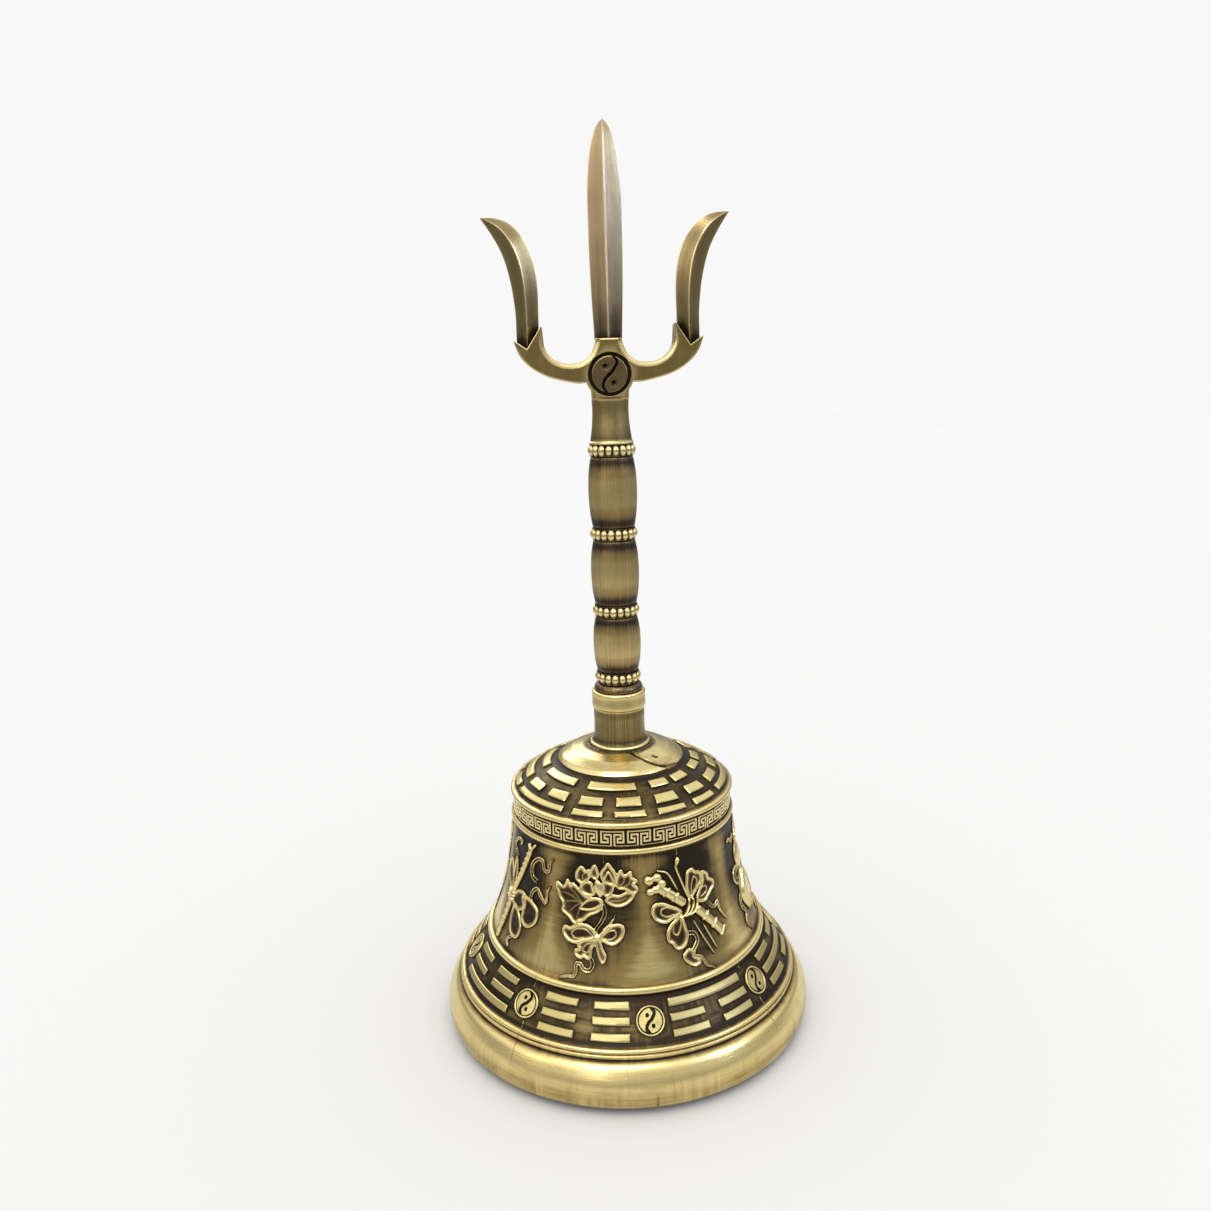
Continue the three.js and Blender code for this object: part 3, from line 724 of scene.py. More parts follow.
class Relief:
    """A low relief in millimetres across and up, about the emblem's middle. Each mark raises the
    surface where it is higher than what is there."""

    def __init__(self, across=(-11.6, 11.6), up=(-15.6, 15.0)):
        self.u, self.v = np.meshgrid(np.arange(*across, EMBLEM_STEP), np.arange(*up, EMBLEM_STEP),
                                     indexing="ij")
        self.level = np.full(self.u.shape, -SINK)

    def window(self, points, margin):
        """The part of the grid that holds the points, with a margin round them."""
        low, high = np.min(points, axis=0) - margin, np.max(points, axis=0) + margin
        first = np.clip(((low - [self.u[0, 0], self.v[0, 0]]) / EMBLEM_STEP).astype(int), 0, None)
        last = ((high - [self.u[0, 0], self.v[0, 0]]) / EMBLEM_STEP).astype(int) + 2
        return slice(first[0], max(first[0], last[0])), slice(first[1], max(first[1], last[1]))

    def ridge(self, points, width=0.42, level=0.55, closed=False, ends=0.55):
        """A rounded line. Its ends are narrower by the share given."""
        width = max(width * RIDGE_SPREAD, THINNEST_RIDGE)
        line = smooth_line(points, closed=closed)
        share = np.linspace(0, 1, len(line))
        breadth = width * (1 if closed else ends + (1 - ends) * np.sin(np.pi * share) ** 0.5)
        breadth = breadth * np.ones(len(line))
        where = self.window(line, width)
        u, v, level_here = self.u[where], self.v[where], self.level[where]
        for (x, y), b in zip(line, breadth):
            round_top = 1 - ((u - x) ** 2 + (v - y) ** 2) / b ** 2
            level_here = np.maximum(level_here, np.where(round_top > 0,
                                                         level * np.sqrt(np.abs(round_top)), -SINK))
        self.level[where] = level_here
        return self

    def fill(self, points, level=0.17):
        """A low flat field inside a closed line."""
        line = smooth_line(points, closed=True)
        where = self.window(line, 0.1)
        u, v = self.u[where], self.v[where]
        inside = np.zeros(u.shape, bool)
        for (x1, y1), (x2, y2) in zip(line, np.roll(line, -1, axis=0)):
            if y1 != y2:
                crossing = (y1 > v) != (y2 > v)
                inside ^= crossing & (u < (x2 - x1) * (v - y1) / (y2 - y1) + x1)
        self.level[where] = np.where(inside, np.maximum(self.level[where], level),
                                     self.level[where])
        return self

    def petal(self, points, width=0.42, level=0.55, field=0.17):
        """A petal or a loop of ribbon: a low field that rises in a hollow curve to a raised rim."""
        line = smooth_line(points, closed=True)
        before = self.level.copy()
        self.fill(points, field)
        inside = (self.level > before) & (self.level == field)
        rise = np.exp(-(near(self.u[inside], self.v[inside], line) / 0.62) ** 2)
        self.level[inside] = field + (0.78 * level - field) * rise
        return self.ridge(points, width, level, closed=True)

    def boss(self, x, y, across, up, level=0.7, lean=0):
        """A full, rounded lump."""
        c, s = math.cos(math.radians(lean)), math.sin(math.radians(lean))
        u, v = self.u - x, self.v - y
        round_top = 1 - ((u * c + v * s) / across) ** 2 - ((v * c - u * s) / up) ** 2
        self.level = np.maximum(self.level, np.where(round_top > 0,
                                                     level * np.sqrt(np.abs(round_top)), -SINK))
        return self

    def ribbon(self, points, breadth=0.55, level=0.46):
        """A ribbon: two fine edges with a low field between them."""
        line = smooth_line(points, step=0.4)
        along = np.gradient(line, axis=0)
        aside = np.stack([-along[:, 1], along[:, 0]], axis=1)
        aside *= breadth / np.linalg.norm(aside, axis=1)[:, None]
        aside *= np.linspace(1, 0.45, len(line))[:, None]
        self.ridge(line, breadth * 0.9, 0.16)
        self.ridge((line + aside)[::2], 0.24, level)
        self.ridge((line - aside)[::2], 0.24, level)
        return self

    def bow(self, x, y, size=1.0, lean=0):
        """A tied bow: two loops, each with an inner fold, a knot and two hanging ends."""
        loop = [(0.4, 0.2), (1.5, 1.7), (3.2, 2.7), (4.9, 2.6), (5.7, 1.4), (5.2, -0.3),
                (3.9, -1.2), (2.0, -1.0)]
        fold = [(0.9, 0.3), (2.4, 1.4), (3.9, 1.6), (4.4, 0.7), (3.4, -0.1), (1.6, -0.2)]
        tails = [(0.3, -0.7), (1.3, -2.4), (0.7, -4.0), (2.2, -5.2), (1.8, -6.8), (3.4, -8.0),
                 (4.6, -7.6)]

        def placed(points, side, spin=0):
            turn_by = math.radians(lean + spin)
            return [(x + size * (side * u * math.cos(turn_by) - v * math.sin(turn_by)),
                     y + size * (side * u * math.sin(turn_by) + v * math.cos(turn_by)))
                    for u, v in points]

        for side, drop in ((1, 0), (-1, 14)):
            self.ribbon(placed(tails, side, drop), 0.5 * size)
            self.petal(placed(loop, side, drop), 0.32)
            self.ridge(placed(fold, side, drop), 0.24, 0.42)
        return self.boss(x, y, 0.95 * size, 0.75 * size, 0.75, lean)

    def part(self, middle):
        """The relief on the waist, at an angle round it."""
        height = EMBLEM_HEIGHT + self.v
        angle = middle + self.u / wall_radius(height)
        soft = self.level.copy()
        soft[1:-1, 1:-1] = (4 * self.level[1:-1, 1:-1] + self.level[2:, 1:-1] + self.level[:-2, 1:-1]
                            + self.level[1:-1, 2:] + self.level[1:-1, :-2]) / 8
        soft = np.where(self.level > -SINK, soft, -SINK)
        wear = np.interp(soft, [-SINK, 0.05, 0.2, 0.36, 0.46], [0, 0.04, 0.2, 0.72, 1])
        return cast_on(angle, height, soft, wear)


lotus = Relief()
lotus.petal([(-4.9, 7.0), (-5.9, 7.6), (-6.4, 7.0), (-7.2, 8.2), (-7.8, 7.0), (-8.6, 6.4),
             (-10.1, 7.1), (-10.2, 6.0), (-9.7, 4.9), (-9.2, 3.7), (-8.5, 2.8), (-8.3, 1.9),
             (-8.5, 0.8), (-6.6, -0.4), (-5.8, -1.3), (-4.9, -1.6), (-4.2, -1.0), (-3.2, -0.7),
             (-1.6, 0.7), (0.3, 1.6), (1.2, 2.6), (1.5, 4.1), (0.2, 4.8), (-1.4, 4.7),
             (-2.8, 5.3)], 0.36)
for tip in ((-7.0, 6.6), (-8.9, 5.2), (-7.9, 2.9), (-6.6, 0.9), (-4.8, -0.4)):
    lotus.ridge([(-3.4, 3.4), ((tip[0] - 3.4) / 2, (tip[1] + 3.4) / 2 + 0.3), tip], 0.2, 0.34)
lotus.petal([(-3.8, 2.0), (-2.6, 3.6), (-0.8, 4.5), (1.1, 4.6), (0.7, 3.1), (-1.1, 2.1)], 0.3)
lotus.petal([(4.6, 8.7), (4.9, 10.2), (5.7, 11.6), (6.6, 10.4), (8.0, 11.2), (8.3, 9.9),
             (9.5, 8.9), (8.7, 8.2), (9.7, 7.2), (8.8, 6.0), (6.8, 7.1), (5.2, 7.4)], 0.34)
lotus.ridge([(5.4, 7.8), (6.4, 8.8), (6.6, 10.0)], 0.2, 0.36)
lotus.ridge([(6.2, 7.4), (7.6, 8.4), (8.0, 9.6)], 0.2, 0.36)
lotus.petal([(-0.4, 12.6), (0.5, 10.8), (0.0, 9.4), (-1.2, 10.0), (-1.3, 11.4)], 0.3)
lotus.petal([(-4.3, 11.5), (-3.5, 11.9), (-2.6, 11.0), (-1.8, 11.3), (-1.6, 9.8), (-2.5, 8.6),
             (-3.5, 8.0), (-4.8, 8.8), (-4.9, 10.3)], 0.34)
lotus.ridge([(-3.2, 8.6), (-3.4, 9.8), (-2.8, 10.4)], 0.2, 0.36)
lotus.petal([(-3.8, 7.4), (-2.6, 8.5), (-1.2, 8.3), (-0.7, 7.0), (-0.5, 5.7), (-1.9, 5.3),
             (-3.4, 6.0)], 0.32)
lotus.petal([(2.7, 13.2), (3.6, 12.2), (4.5, 10.8), (4.6, 9.0), (3.6, 8.2), (1.7, 9.0),
             (1.1, 10.8), (1.8, 12.0)], 0.34)
lotus.petal([(2.9, 11.1), (3.8, 9.6), (4.2, 8.2), (3.5, 6.1), (2.2, 5.5), (1.6, 7.0),
             (1.6, 8.7), (2.2, 10.2)], 0.3)
lotus.petal([(2.3, 4.4), (3.6, 5.7), (5.4, 5.6), (7.2, 6.4), (8.8, 5.9), (8.2, 4.6), (6.5, 3.4),
             (4.4, 3.2)], 0.34)
lotus.ridge([(3.2, 4.4), (5.4, 4.4), (7.4, 5.2)], 0.2, 0.36)
lotus.boss(0.6, 7.2, 1.05, 2.3, 0.85, 14)
for aside in (0, -0.75):
    lotus.ridge([(1.6 + aside, 4.3), (2.5 + aside, 1.7), (1.6 + aside, -0.7),
                 (0.4 + aside, -2.6), (0.7 + aside, -4.0)], 0.24, 0.46)
lotus.ridge([(4.5, 1.2), (3.9, -0.4), (2.6, -1.8), (1.3, -3.4)], 0.24, 0.46)
lotus.ridge([(4.0, 0.2), (3.0, -1.2), (1.6, -2.4)], 0.2, 0.4)
lotus.petal([(0.0, -3.9), (-0.7, -2.5), (-2.3, -1.7), (-4.2, -1.8), (-5.6, -2.5), (-6.4, -2.9),
             (-7.7, -2.8), (-8.2, -3.7), (-7.6, -4.9), (-6.5, -5.7), (-4.8, -5.9), (-3.0, -5.2),
             (-1.2, -4.7)])
lotus.ridge([(-0.8, -3.9), (-2.4, -2.7), (-4.6, -2.8), (-5.9, -3.9), (-5.0, -5.0),
             (-3.0, -4.6)], 0.24, 0.44)
lotus.petal([(1.0, -4.0), (2.0, -2.7), (3.6, -1.5), (5.2, -1.1), (6.4, -1.6), (6.5, -3.0),
             (5.8, -4.5), (4.2, -5.5), (2.4, -5.1)])
lotus.ridge([(1.6, -4.0), (3.0, -2.7), (4.5, -2.5), (4.8, -3.6), (3.6, -4.5), (2.2, -4.5)],
            0.24, 0.44)
lotus.petal([(-0.2, -4.8), (-1.8, -4.9), (-3.2, -5.3), (-4.1, -6.2), (-3.7, -7.1), (-4.8, -7.6),
             (-4.4, -8.7), (-3.3, -9.0), (-2.6, -8.5), (-1.7, -9.0), (-1.0, -8.2), (-0.9, -6.8),
             (-0.2, -5.7)])
lotus.ridge([(-0.7, -5.5), (-2.2, -6.0), (-2.9, -7.3), (-1.9, -7.8), (-1.2, -6.6)], 0.22, 0.42)
lotus.boss(0.5, -4.3, 1.15, 0.8, 0.8)
lotus.petal([(0.1, -5.0), (1.2, -5.0), (1.9, -6.8), (2.7, -8.3), (2.0, -9.7), (0.9, -8.2)], 0.26)
lotus.ribbon([(-1.2, -8.6), (-0.4, -9.9), (-0.9, -11.3), (-2.4, -11.4), (-3.4, -10.3),
              (-4.4, -10.5), (-4.4, -12.0), (-5.0, -13.2), (-6.6, -13.4), (-8.7, -14.1)], 0.42)

fish_drum = Relief()
fish_drum.ridge([(-8.0, 6.5), (-5.4, 4.6), (-2.6, 2.2)], 1.2, 0.95, ends=0.95)
for x, y, size in ((-10.3, 8.7, 1.3), (-8.2, 9.2, 1.2), (-7.2, 7.6, 1.15), (-8.9, 6.4, 1.15),
                   (-10.2, 6.0, 1.1)):
    fish_drum.boss(x, y, size, size * 0.95, 1.1)
for start, end in (((1.5, -0.7), (2.9, -2.2)), ((3.7, -3.0), (5.2, -4.7)),
                   ((6.0, -5.5), (7.6, -7.4))):
    fish_drum.ridge([start, end], 1.16, 0.9, ends=0.95)
for x, y in ((-6.3, 5.4), (-4.3, 3.8), (3.3, -2.6), (5.6, -5.1), (7.8, -7.6)):
    fish_drum.ridge([(x - 0.85, y - 0.8), (x, y), (x + 0.85, y + 0.8)], 0.3, 1.08, ends=0.9)
fish_drum.ridge([(-2.9, 13.0), (-2.6, 12.0), (-3.3, 10.7), (-2.2, 7.0), (-0.9, 2.6)], 0.34, 0.62)
fish_drum.boss(-2.8, 12.2, 0.65, 1.0, 0.8, -20)
fish_drum.ridge([(-0.4, -2.6), (1.6, -7.0), (3.8, -11.6)], 0.3, 0.55)
fish_drum.ridge([(-8.0, 10.8), (-5.5, 9.6), (-3.4, 5.2)], 0.36, 0.6)
fish_drum.ridge([(2.3, -4.4), (3.7, -7.6), (5.0, -10.7)], 0.3, 0.55)
fish_drum.petal([(-0.3, 2.7), (-1.0, 5.0), (-0.7, 7.3), (-0.3, 8.7), (1.0, 9.2), (1.9, 8.3),
                 (3.3, 7.7), (3.5, 6.0), (2.4, 4.8), (1.2, 3.7)])
fish_drum.ridge([(0.2, 3.6), (0.4, 5.4), (1.3, 7.2), (2.2, 6.2), (1.4, 4.4)], 0.24, 0.44)
fish_drum.petal([(3.9, 6.8), (4.0, 7.6), (5.4, 6.9), (5.8, 5.5), (7.2, 4.6), (7.3, 3.2),
                 (6.2, 2.4), (5.2, 1.6), (3.8, 0.7), (1.6, 1.5), (2.6, 3.6), (3.8, 5.2)])
fish_drum.ridge([(1.5, 2.2), (3.2, 3.9), (4.8, 3.9), (4.6, 2.6), (2.8, 1.9)], 0.24, 0.44)
fish_drum.ribbon([(4.6, 0.4), (5.8, -1.3), (7.1, -1.6), (8.0, -0.8), (8.3, -2.6), (9.2, -4.2),
                  (10.4, -6.0)], 0.36)
fish_drum.petal([(-3.4, -0.1), (-4.0, 0.9), (-5.4, 1.7), (-7.6, 2.8), (-9.5, 2.8), (-10.3, 1.6),
                 (-10.1, 0.2), (-9.3, -0.9), (-7.4, -1.6), (-5.5, -0.9)])
fish_drum.ridge([(-4.4, 0.7), (-6.2, 1.7), (-7.9, 1.6), (-8.3, 0.5), (-7.0, -0.4),
                 (-5.2, -0.2)], 0.24, 0.44)
fish_drum.petal([(-3.4, -0.6), (-4.6, -1.4), (-6.2, -2.4), (-7.4, -4.0), (-7.5, -5.8),
                 (-6.6, -6.6), (-5.8, -7.9), (-4.4, -7.9), (-3.2, -7.0), (-2.6, -5.4),
                 (-2.8, -3.2)], 0.4)
fish_drum.ridge([(-3.6, -1.0), (-3.9, -3.2), (-5.0, -4.9), (-6.0, -4.2), (-5.6, -2.8)], 0.24, 0.44)
fish_drum.ribbon([(-2.4, -5.2), (-0.7, -5.6), (-0.2, -7.4), (-1.7, -9.1), (-1.9, -10.4),
                  (0.0, -11.2), (1.0, -13.2), (2.9, -14.2)], 0.45)
fish_drum.petal([(-2.9, -8.6), (-4.6, -9.7), (-4.2, -11.1), (-2.4, -12.4), (-0.6, -12.0),
                 (-1.6, -10.6), (-2.0, -9.4)], 0.3)
for aside in (-1.15, 0.0, 1.15):
    fish_drum.ridge([(0.2 + aside, 2.4 - 0.1 * aside), (-0.1 + aside, 0.9),
                     (-1.2 + aside, -0.6), (-2.6 + aside, -1.2)], 0.36, 1.3)

flute = Relief()
flute_line = [(3.0, 12.0), (0.0, 5.5), (-3.6, -1.9), (-6.7, -13.3)]
flute.ridge(flute_line, 0.8, 0.8, ends=0.9)
twists = smooth_line(flute_line)
for x, y in twists[len(twists) // 30::len(twists) // 15]:
    flute.ridge([(x - 0.8, y - 0.3), (x, y + 0.15), (x + 0.8, y + 0.9)], 0.28, 0.98, ends=0.9)
for end in ((2.3, 13.4), (4.7, 13.8)):
    flute.ridge([(3.0, 11.8), end], 0.45, 0.8)
flute.petal([(-4.6, -0.7), (-7.2, 0.7), (-8.8, 3.3), (-7.4, 5.8), (-5.6, 3.8), (-4.4, 1.0)], 0.4)
flute.petal([(-4.0, -0.1), (-4.8, 2.9), (-4.0, 7.5), (-2.8, 4.3), (-3.0, 1.5)], 0.34)
flute.petal([(1.6, -0.2), (4.8, -0.1), (7.8, -1.8), (7.6, -4.7), (5.2, -6.4), (2.9, -5.5),
             (2.6, -2.8)], 0.45)
flute.petal([(-3.2, -2.6), (-1.0, 0.1), (2.2, 0.4), (2.9, -2.3), (0.4, -4.0), (-1.8, -3.7)], 0.45)
flute.petal([(-1.6, -3.6), (-2.0, -7.2), (-0.6, -9.9), (2.4, -10.1), (3.0, -7.3), (1.0, -4.8)], 0.4)
flute.ribbon([(0.6, -10.5), (-1.2, -12.1), (0.0, -13.3)], 0.32)
flute.ribbon([(6.6, 5.1), (4.4, 6.0), (4.0, 8.5), (5.8, 10.7), (7.6, 10.7), (8.4, 8.8), (9.8, 8.8),
              (10.0, 10.9), (11.0, 12.0)], 0.5)
flute.ribbon([(4.8, 0.1), (5.0, 2.0), (6.6, 3.5), (8.2, 2.1), (10.0, 1.1), (10.0, 3.9),
              (11.0, 5.4)], 0.4)
flute.ribbon([(-3.2, 8.0), (-5.2, 9.3), (-5.4, 11.1), (-3.4, 12.7), (-1.4, 12.6), (-2.6, 11.1)], 0.4)
for k in (-1, 0, 1):
    flute.ridge([(-5.0 - 0.35 * k, -1.4 - 0.9 * k), (-3.7, -2.1 - 0.8 * k),
                 (-2.4 - 0.35 * k, -1.9 - 0.9 * k)], 0.34, 1.2, ends=0.9)

gourd = Relief()
gourd.boss(0.2, -4.6, 5.0, 5.2, 1.25)
gourd.boss(0.2, 4.4, 3.3, 3.5, 1.1)
gourd.ridge([(0.2, 7.4), (0.0, 9.2), (1.4, 10.6)], 0.5, 0.8)
gourd.petal([(0.4, 9.6), (2.4, 9.2), (4.8, 10.2), (6.4, 12.2), (4.2, 12.6), (2.0, 11.8)], 0.34)
gourd.ridge([(1.4, 10.2), (3.6, 11.0), (5.4, 11.8)], 0.24, 0.42)
gourd.ribbon([(-0.4, 9.0), (-2.2, 10.4), (-4.0, 9.4), (-5.2, 10.8), (-6.8, 10.2)], 0.36)
for k in range(-2, 3):
    gourd.ridge([(0.2 + 0.5 * k, 0.4), (0.2 + 2.0 * k, -4.6), (0.2 + 0.4 * k, -9.4)], 0.2, 1.3)
gourd.bow(0.2, 0.6, 1.15, 0)
for side in (-1, 1):
    gourd.ribbon([(side * 4.6, -4.0), (side * 6.4, -6.4), (side * 5.2, -8.8), (side * 6.8, -11.0),
                  (side * 5.0, -13.2)], 0.5)

fan = Relief()
fan.petal([(0.0, 0.6), (-3.6, 2.0), (-6.2, 4.8), (-6.6, 8.0), (-4.8, 11.2), (-2.2, 12.4),
           (0.0, 12.9), (2.2, 12.4), (4.8, 11.2), (6.6, 8.0), (6.2, 4.8), (3.6, 2.0)], 0.42, 0.6)
for k in range(9):
    spread_by = math.radians(-64 + 16 * k)
    fan.ridge([(0, 1.4), (5.0 * math.sin(spread_by), 2.2 + 5.0 * math.cos(spread_by)),
               (6.0 * math.sin(spread_by), 4.6 + 6.6 * math.cos(spread_by))], 0.22, 0.42)
fan.ridge([(0, 1.8), (0.2, -4.0), (-0.2, -12.8)], 0.55, 0.75, ends=0.9)
fan.boss(-0.2, -13.2, 0.9, 0.8, 0.8)
fan.bow(0.1, -2.2, 1.05, 4)

basket = Relief()
basket.petal([(-6.4, 0.4), (-5.8, -3.0), (-4.4, -6.0), (-1.8, -7.6), (1.8, -7.6), (4.4, -6.0),
              (5.8, -3.0), (6.4, 0.4), (3.2, -0.5), (0.0, -0.8), (-3.2, -0.5)], 0.45, 0.65, 0.25)
for k in range(-4, 5):
    basket.ridge([(1.45 * k, -0.4), (1.2 * k, -3.8), (0.75 * k, -7.2)], 0.24, 0.5)
for y, reach in ((-2.4, 5.6), (-4.4, 4.9), (-6.2, 3.6)):
    basket.ridge([(-reach, y + 0.5), (0, y - 0.3), (reach, y + 0.5)], 0.26, 0.56)
basket.ridge([(-6.2, 0.4), (-5.8, 5.6), (-3.0, 10.4), (0, 11.8), (3.0, 10.4), (5.8, 5.6),
              (6.2, 0.4)], 0.45, 0.7, ends=0.95)
for x, y in ((-3.3, 2.4), (3.2, 2.6), (0, 5.2)):
    for k in range(5):
        turn_by = math.radians(72 * k + 10)
        basket.boss(x + 1.25 * math.sin(turn_by), y + 1.25 * math.cos(turn_by), 0.75, 1.1, 0.62,
                    -math.degrees(turn_by))
    basket.boss(x, y, 0.7, 0.7, 0.85)
for side in (-1, 1):
    basket.ridge([(side * 0.8, 0.0), (side * 1.6, 1.4), (side * 0.9, 3.0)], 0.26, 0.5)
basket.ribbon([(-5.2, -6.4), (-7.4, -7.6), (-6.6, -9.6), (-8.0, -11.4), (-6.2, -13.4)], 0.45)
basket.ribbon([(5.2, -6.4), (7.2, -8.0), (6.2, -9.8), (7.4, -11.8), (5.4, -13.2)], 0.45)
basket.petal([(-1.6, -8.0), (0, -9.0), (1.6, -8.0), (2.6, -9.2), (1.2, -10.6), (0, -10.0),
              (-1.2, -10.6), (-2.6, -9.2)], 0.34)

sword = Relief()
sword.ridge([(6.4, 13.2), (2.2, 3.0), (-2.4, -8.2)], 0.7, 0.7, ends=0.7)
sword.ridge([(6.4, 13.2), (2.2, 3.0), (-2.4, -8.2)], 0.2, 0.95)
sword.petal([(-4.4, -6.9), (-2.6, -7.6), (-0.6, -8.7), (-0.8, -9.8), (-2.9, -9.2),
             (-4.6, -8.1)], 0.34, 0.7, 0.5)
sword.ridge([(-2.9, -9.4), (-4.3, -12.6)], 0.62, 0.85, ends=0.95)
sword.boss(-4.6, -13.3, 1.0, 0.9, 0.95)
sword.bow(0.9, -0.4, 1.0, 12)
sword.ribbon([(0.6, 1.2), (-2.0, 3.4), (-1.4, 6.0), (-3.8, 8.0), (-3.2, 10.4), (-5.4, 11.8)], 0.5)
sword.ribbon([(-4.8, -13.0), (-6.8, -11.4), (-6.4, -9.0), (-8.2, -7.4)], 0.42)

clappers = Relief()
for lean, x in ((14, -1.9), (-8, 2.3)):
    c, s = math.cos(math.radians(lean)), math.sin(math.radians(lean))
    clappers.petal([(x + u * c - v * s, 1.2 + u * s + v * c) for u, v in
                    ((-1.5, -9.6), (-1.9, -3.2), (-1.9, 3.2), (-1.5, 9.4), (0, 10.8), (1.5, 9.4),
                     (1.9, 3.2), (1.9, -3.2), (1.5, -9.6), (0, -10.4))], 0.42, 0.75, 0.42)
    clappers.ridge([(x + 7.6 * s, 1.2 - 7.6 * c), (x - 7.6 * s, 1.2 + 7.6 * c)], 0.24, 0.62)
clappers.bow(0.2, 2.2, 1.05, -4)
clappers.ribbon([(-2.0, -9.0), (-4.2, -10.4), (-3.6, -12.4), (-5.6, -13.8)], 0.45)
clappers.ribbon([(2.6, -8.6), (4.6, -10.2), (4.0, -12.2), (6.0, -13.6)], 0.45)

for name, relief, angle in (("fish_drum", fish_drum, 30), ("gourd", gourd, 75), ("fan", fan, 120),
                            ("basket", basket, 165), ("sword", sword, 210),
                            ("clappers", clappers, 255), ("flute", flute, 300),
                            ("lotus", lotus, 345)):
    piece("emblem_" + name, relief.part(math.radians(angle)), "bell",
          emblem_brass, crease=60)


# ---------------------------------------------------------------- mould seams
# Hairlines of flash where the pieces of the mould met: they wander over the band, cross the rings
# and run a little way on to the lip. Short ones join the fret's rim to the emblems.
SEAM_WIDTH = 0.11


def seam(angle, high, low, wander, proud=0.13):
    """A thin ridge down the wall from one height to another, about an angle in degrees."""
    count = max(4, round(abs(high - low) / 0.35))
    share = np.linspace(0, 1, count)
    drift = np.cumsum([dice.uniform(-1, 1) for _ in range(count)]) * wander
    height = high + (low - high) * share
    aside = np.array([-SEAM_WIDTH, 0, SEAM_WIDTH])
    angles = math.radians(angle) + (drift[:, None] + aside) / wall_radius(height)[:, None]
    raised = proud * np.sin(np.pi * np.clip(share * 0.96 + 0.02, 0, 1)) ** 0.35
    level = np.stack([0 * raised - 0.06, raised, 0 * raised - 0.06], axis=1)
    level[[0, -1]] = -0.06
    top = on_wall(angles, height[:, None] + 0 * aside, level).reshape(-1, 3)
    back = on_wall(angles, height[:, None] + 0 * aside, np.full_like(level, -0.2)).reshape(-1, 3)
    grid = grid_faces(count, 3)
    left, right = np.arange(count) * 3, np.arange(count) * 3 + 2
    walls = [np.stack([edge[:-1], edge[1:], edge[1:] + 3 * count, edge[:-1] + 3 * count], axis=1)
             for edge in (left, right, np.array([0, 1, 2]), np.array([0, 1, 2]) + 3 * (count - 1))]
    wear = np.concatenate([np.tile([0.3, 0.95, 0.3], count), np.zeros(3 * count)])
    return (np.concatenate([top, back]),
            np.concatenate([grid, grid[:, ::-1] + 3 * count] + walls), wear)


for k, (angle, high, low, wander) in enumerate((
        (-38.6, 26.5, 21.4, 0.10), (-38.2, 15.4, 6.8, 0.12), (46.4, 26.5, 21.6, 0.06),
        (48.6, 15.6, 7.6, 0.10), (-11.4, 54.4, 52.0, 0.03), (24.6, 54.4, 52.3, 0.03),
        (-23, 61.9, 55.0, 0.03), (58, 61.9, 55.0, 0.03), (5.5, 5.5, 1.5, 0.05),
        (141.4, 26.5, 6.8, 0.10), (231.8, 26.5, 7.2, 0.10), (142, 61.9, 52.4, 0.03))):
    piece("mould_seam_" + str(k + 1), seam(angle, high, low, wander), "bell",
          emblem_brass, crease=80)


# ---------------------------------------------------------------- foot, band and shoulder
# The handle's foot is a turned tube on a thin flange, bedded on the crown in a rough line of
# solder. A polished band and a dark cushion-shaped shoulder are threaded on above it.
BORE = 2.0


def span(node):
    """The lowest and the highest level of a fixed part, in millimetres."""
    low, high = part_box(node)
    return low.z / MM, high.z / MM


foot_low, foot_high = span("handle_foot")
band_low, band_high = span("foot_band")
shoulder_low, shoulder_high = span("cushion_shoulder")


def fading(ends, middle, low, high, reach=0.16, dark_share=0.0):
    """Wear that is low at the two ends of a turned piece: patina where cloths don't reach, and on the
    barrels painted shade as well. Within dark_share of its length at each end it stays at the ends'
    value."""
    def worn(radius, height, angle):
        share = (height - low) / (high - low)
        near_end = np.clip((np.minimum(share, 1 - share) - dark_share) / reach, 0, 1)
        return ends + (middle - ends) * near_end ** 0.8 + 0 * radius * angle
    return worn


foot_brass = brass("foot_brass", body=(0.25, 0.18, 0.07, 1), round_brush=0.1, upright_brush=0.95,
                   smoothest=0.26, roughest=0.5, streak=0.95)
foot_profile = [
    (BORE, foot_low, 0), (7.6, foot_low, 0.15), (7.7, foot_low + 0.45, 0.2),
    (7.5, foot_low + 0.9, 0.2), (7.0, foot_low + 1.05, 0.3), (6.6, foot_low + 1.7, 0.5),
    (6.35, (foot_low + foot_high) / 2, 5), (6.45, foot_high, 0), (BORE, foot_high, 0),
]
handle_foot = piece(
    "foot_tube", turned(foot_profile, wear=lambda r, z, a: 0.5 + 0.25 * (r > 7.2) - 0.3
                        * np.clip((z - foot_high + 2.2) / 2, 0, 1) + 0 * a),
    "bell", foot_brass)
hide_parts("handle_foot")

SOLDER_SIDES = 150
solder_angle = all_round(SOLDER_SIDES)
solder_swell = np.array([dice.uniform(0.55, 1.25) for _ in range(SOLDER_SIDES)])
solder_swell = (solder_swell + np.roll(solder_swell, 1) + np.roll(solder_swell, -1)) / 3
solder_round = np.linspace(0, 2 * math.pi, 10)[:-1]
solder_radius = 8.0 + 0.65 * solder_swell[None, :] * np.cos(solder_round)[:, None]
solder_height = foot_low - 0.1 + 0.42 * solder_swell[None, :] * np.sin(solder_round)[:, None]
solder_points = about_axis(solder_radius, solder_height, solder_angle)
dark_brass = brass("dark_brass", rubbed=(0.30, 0.22, 0.10, 1), body=(0.12, 0.085, 0.045, 1),
                   round_brush=0.6, upright_brush=0.4, smoothest=0.16, roughest=0.32, mottle=0.9,
                   mottle_size=700.0)
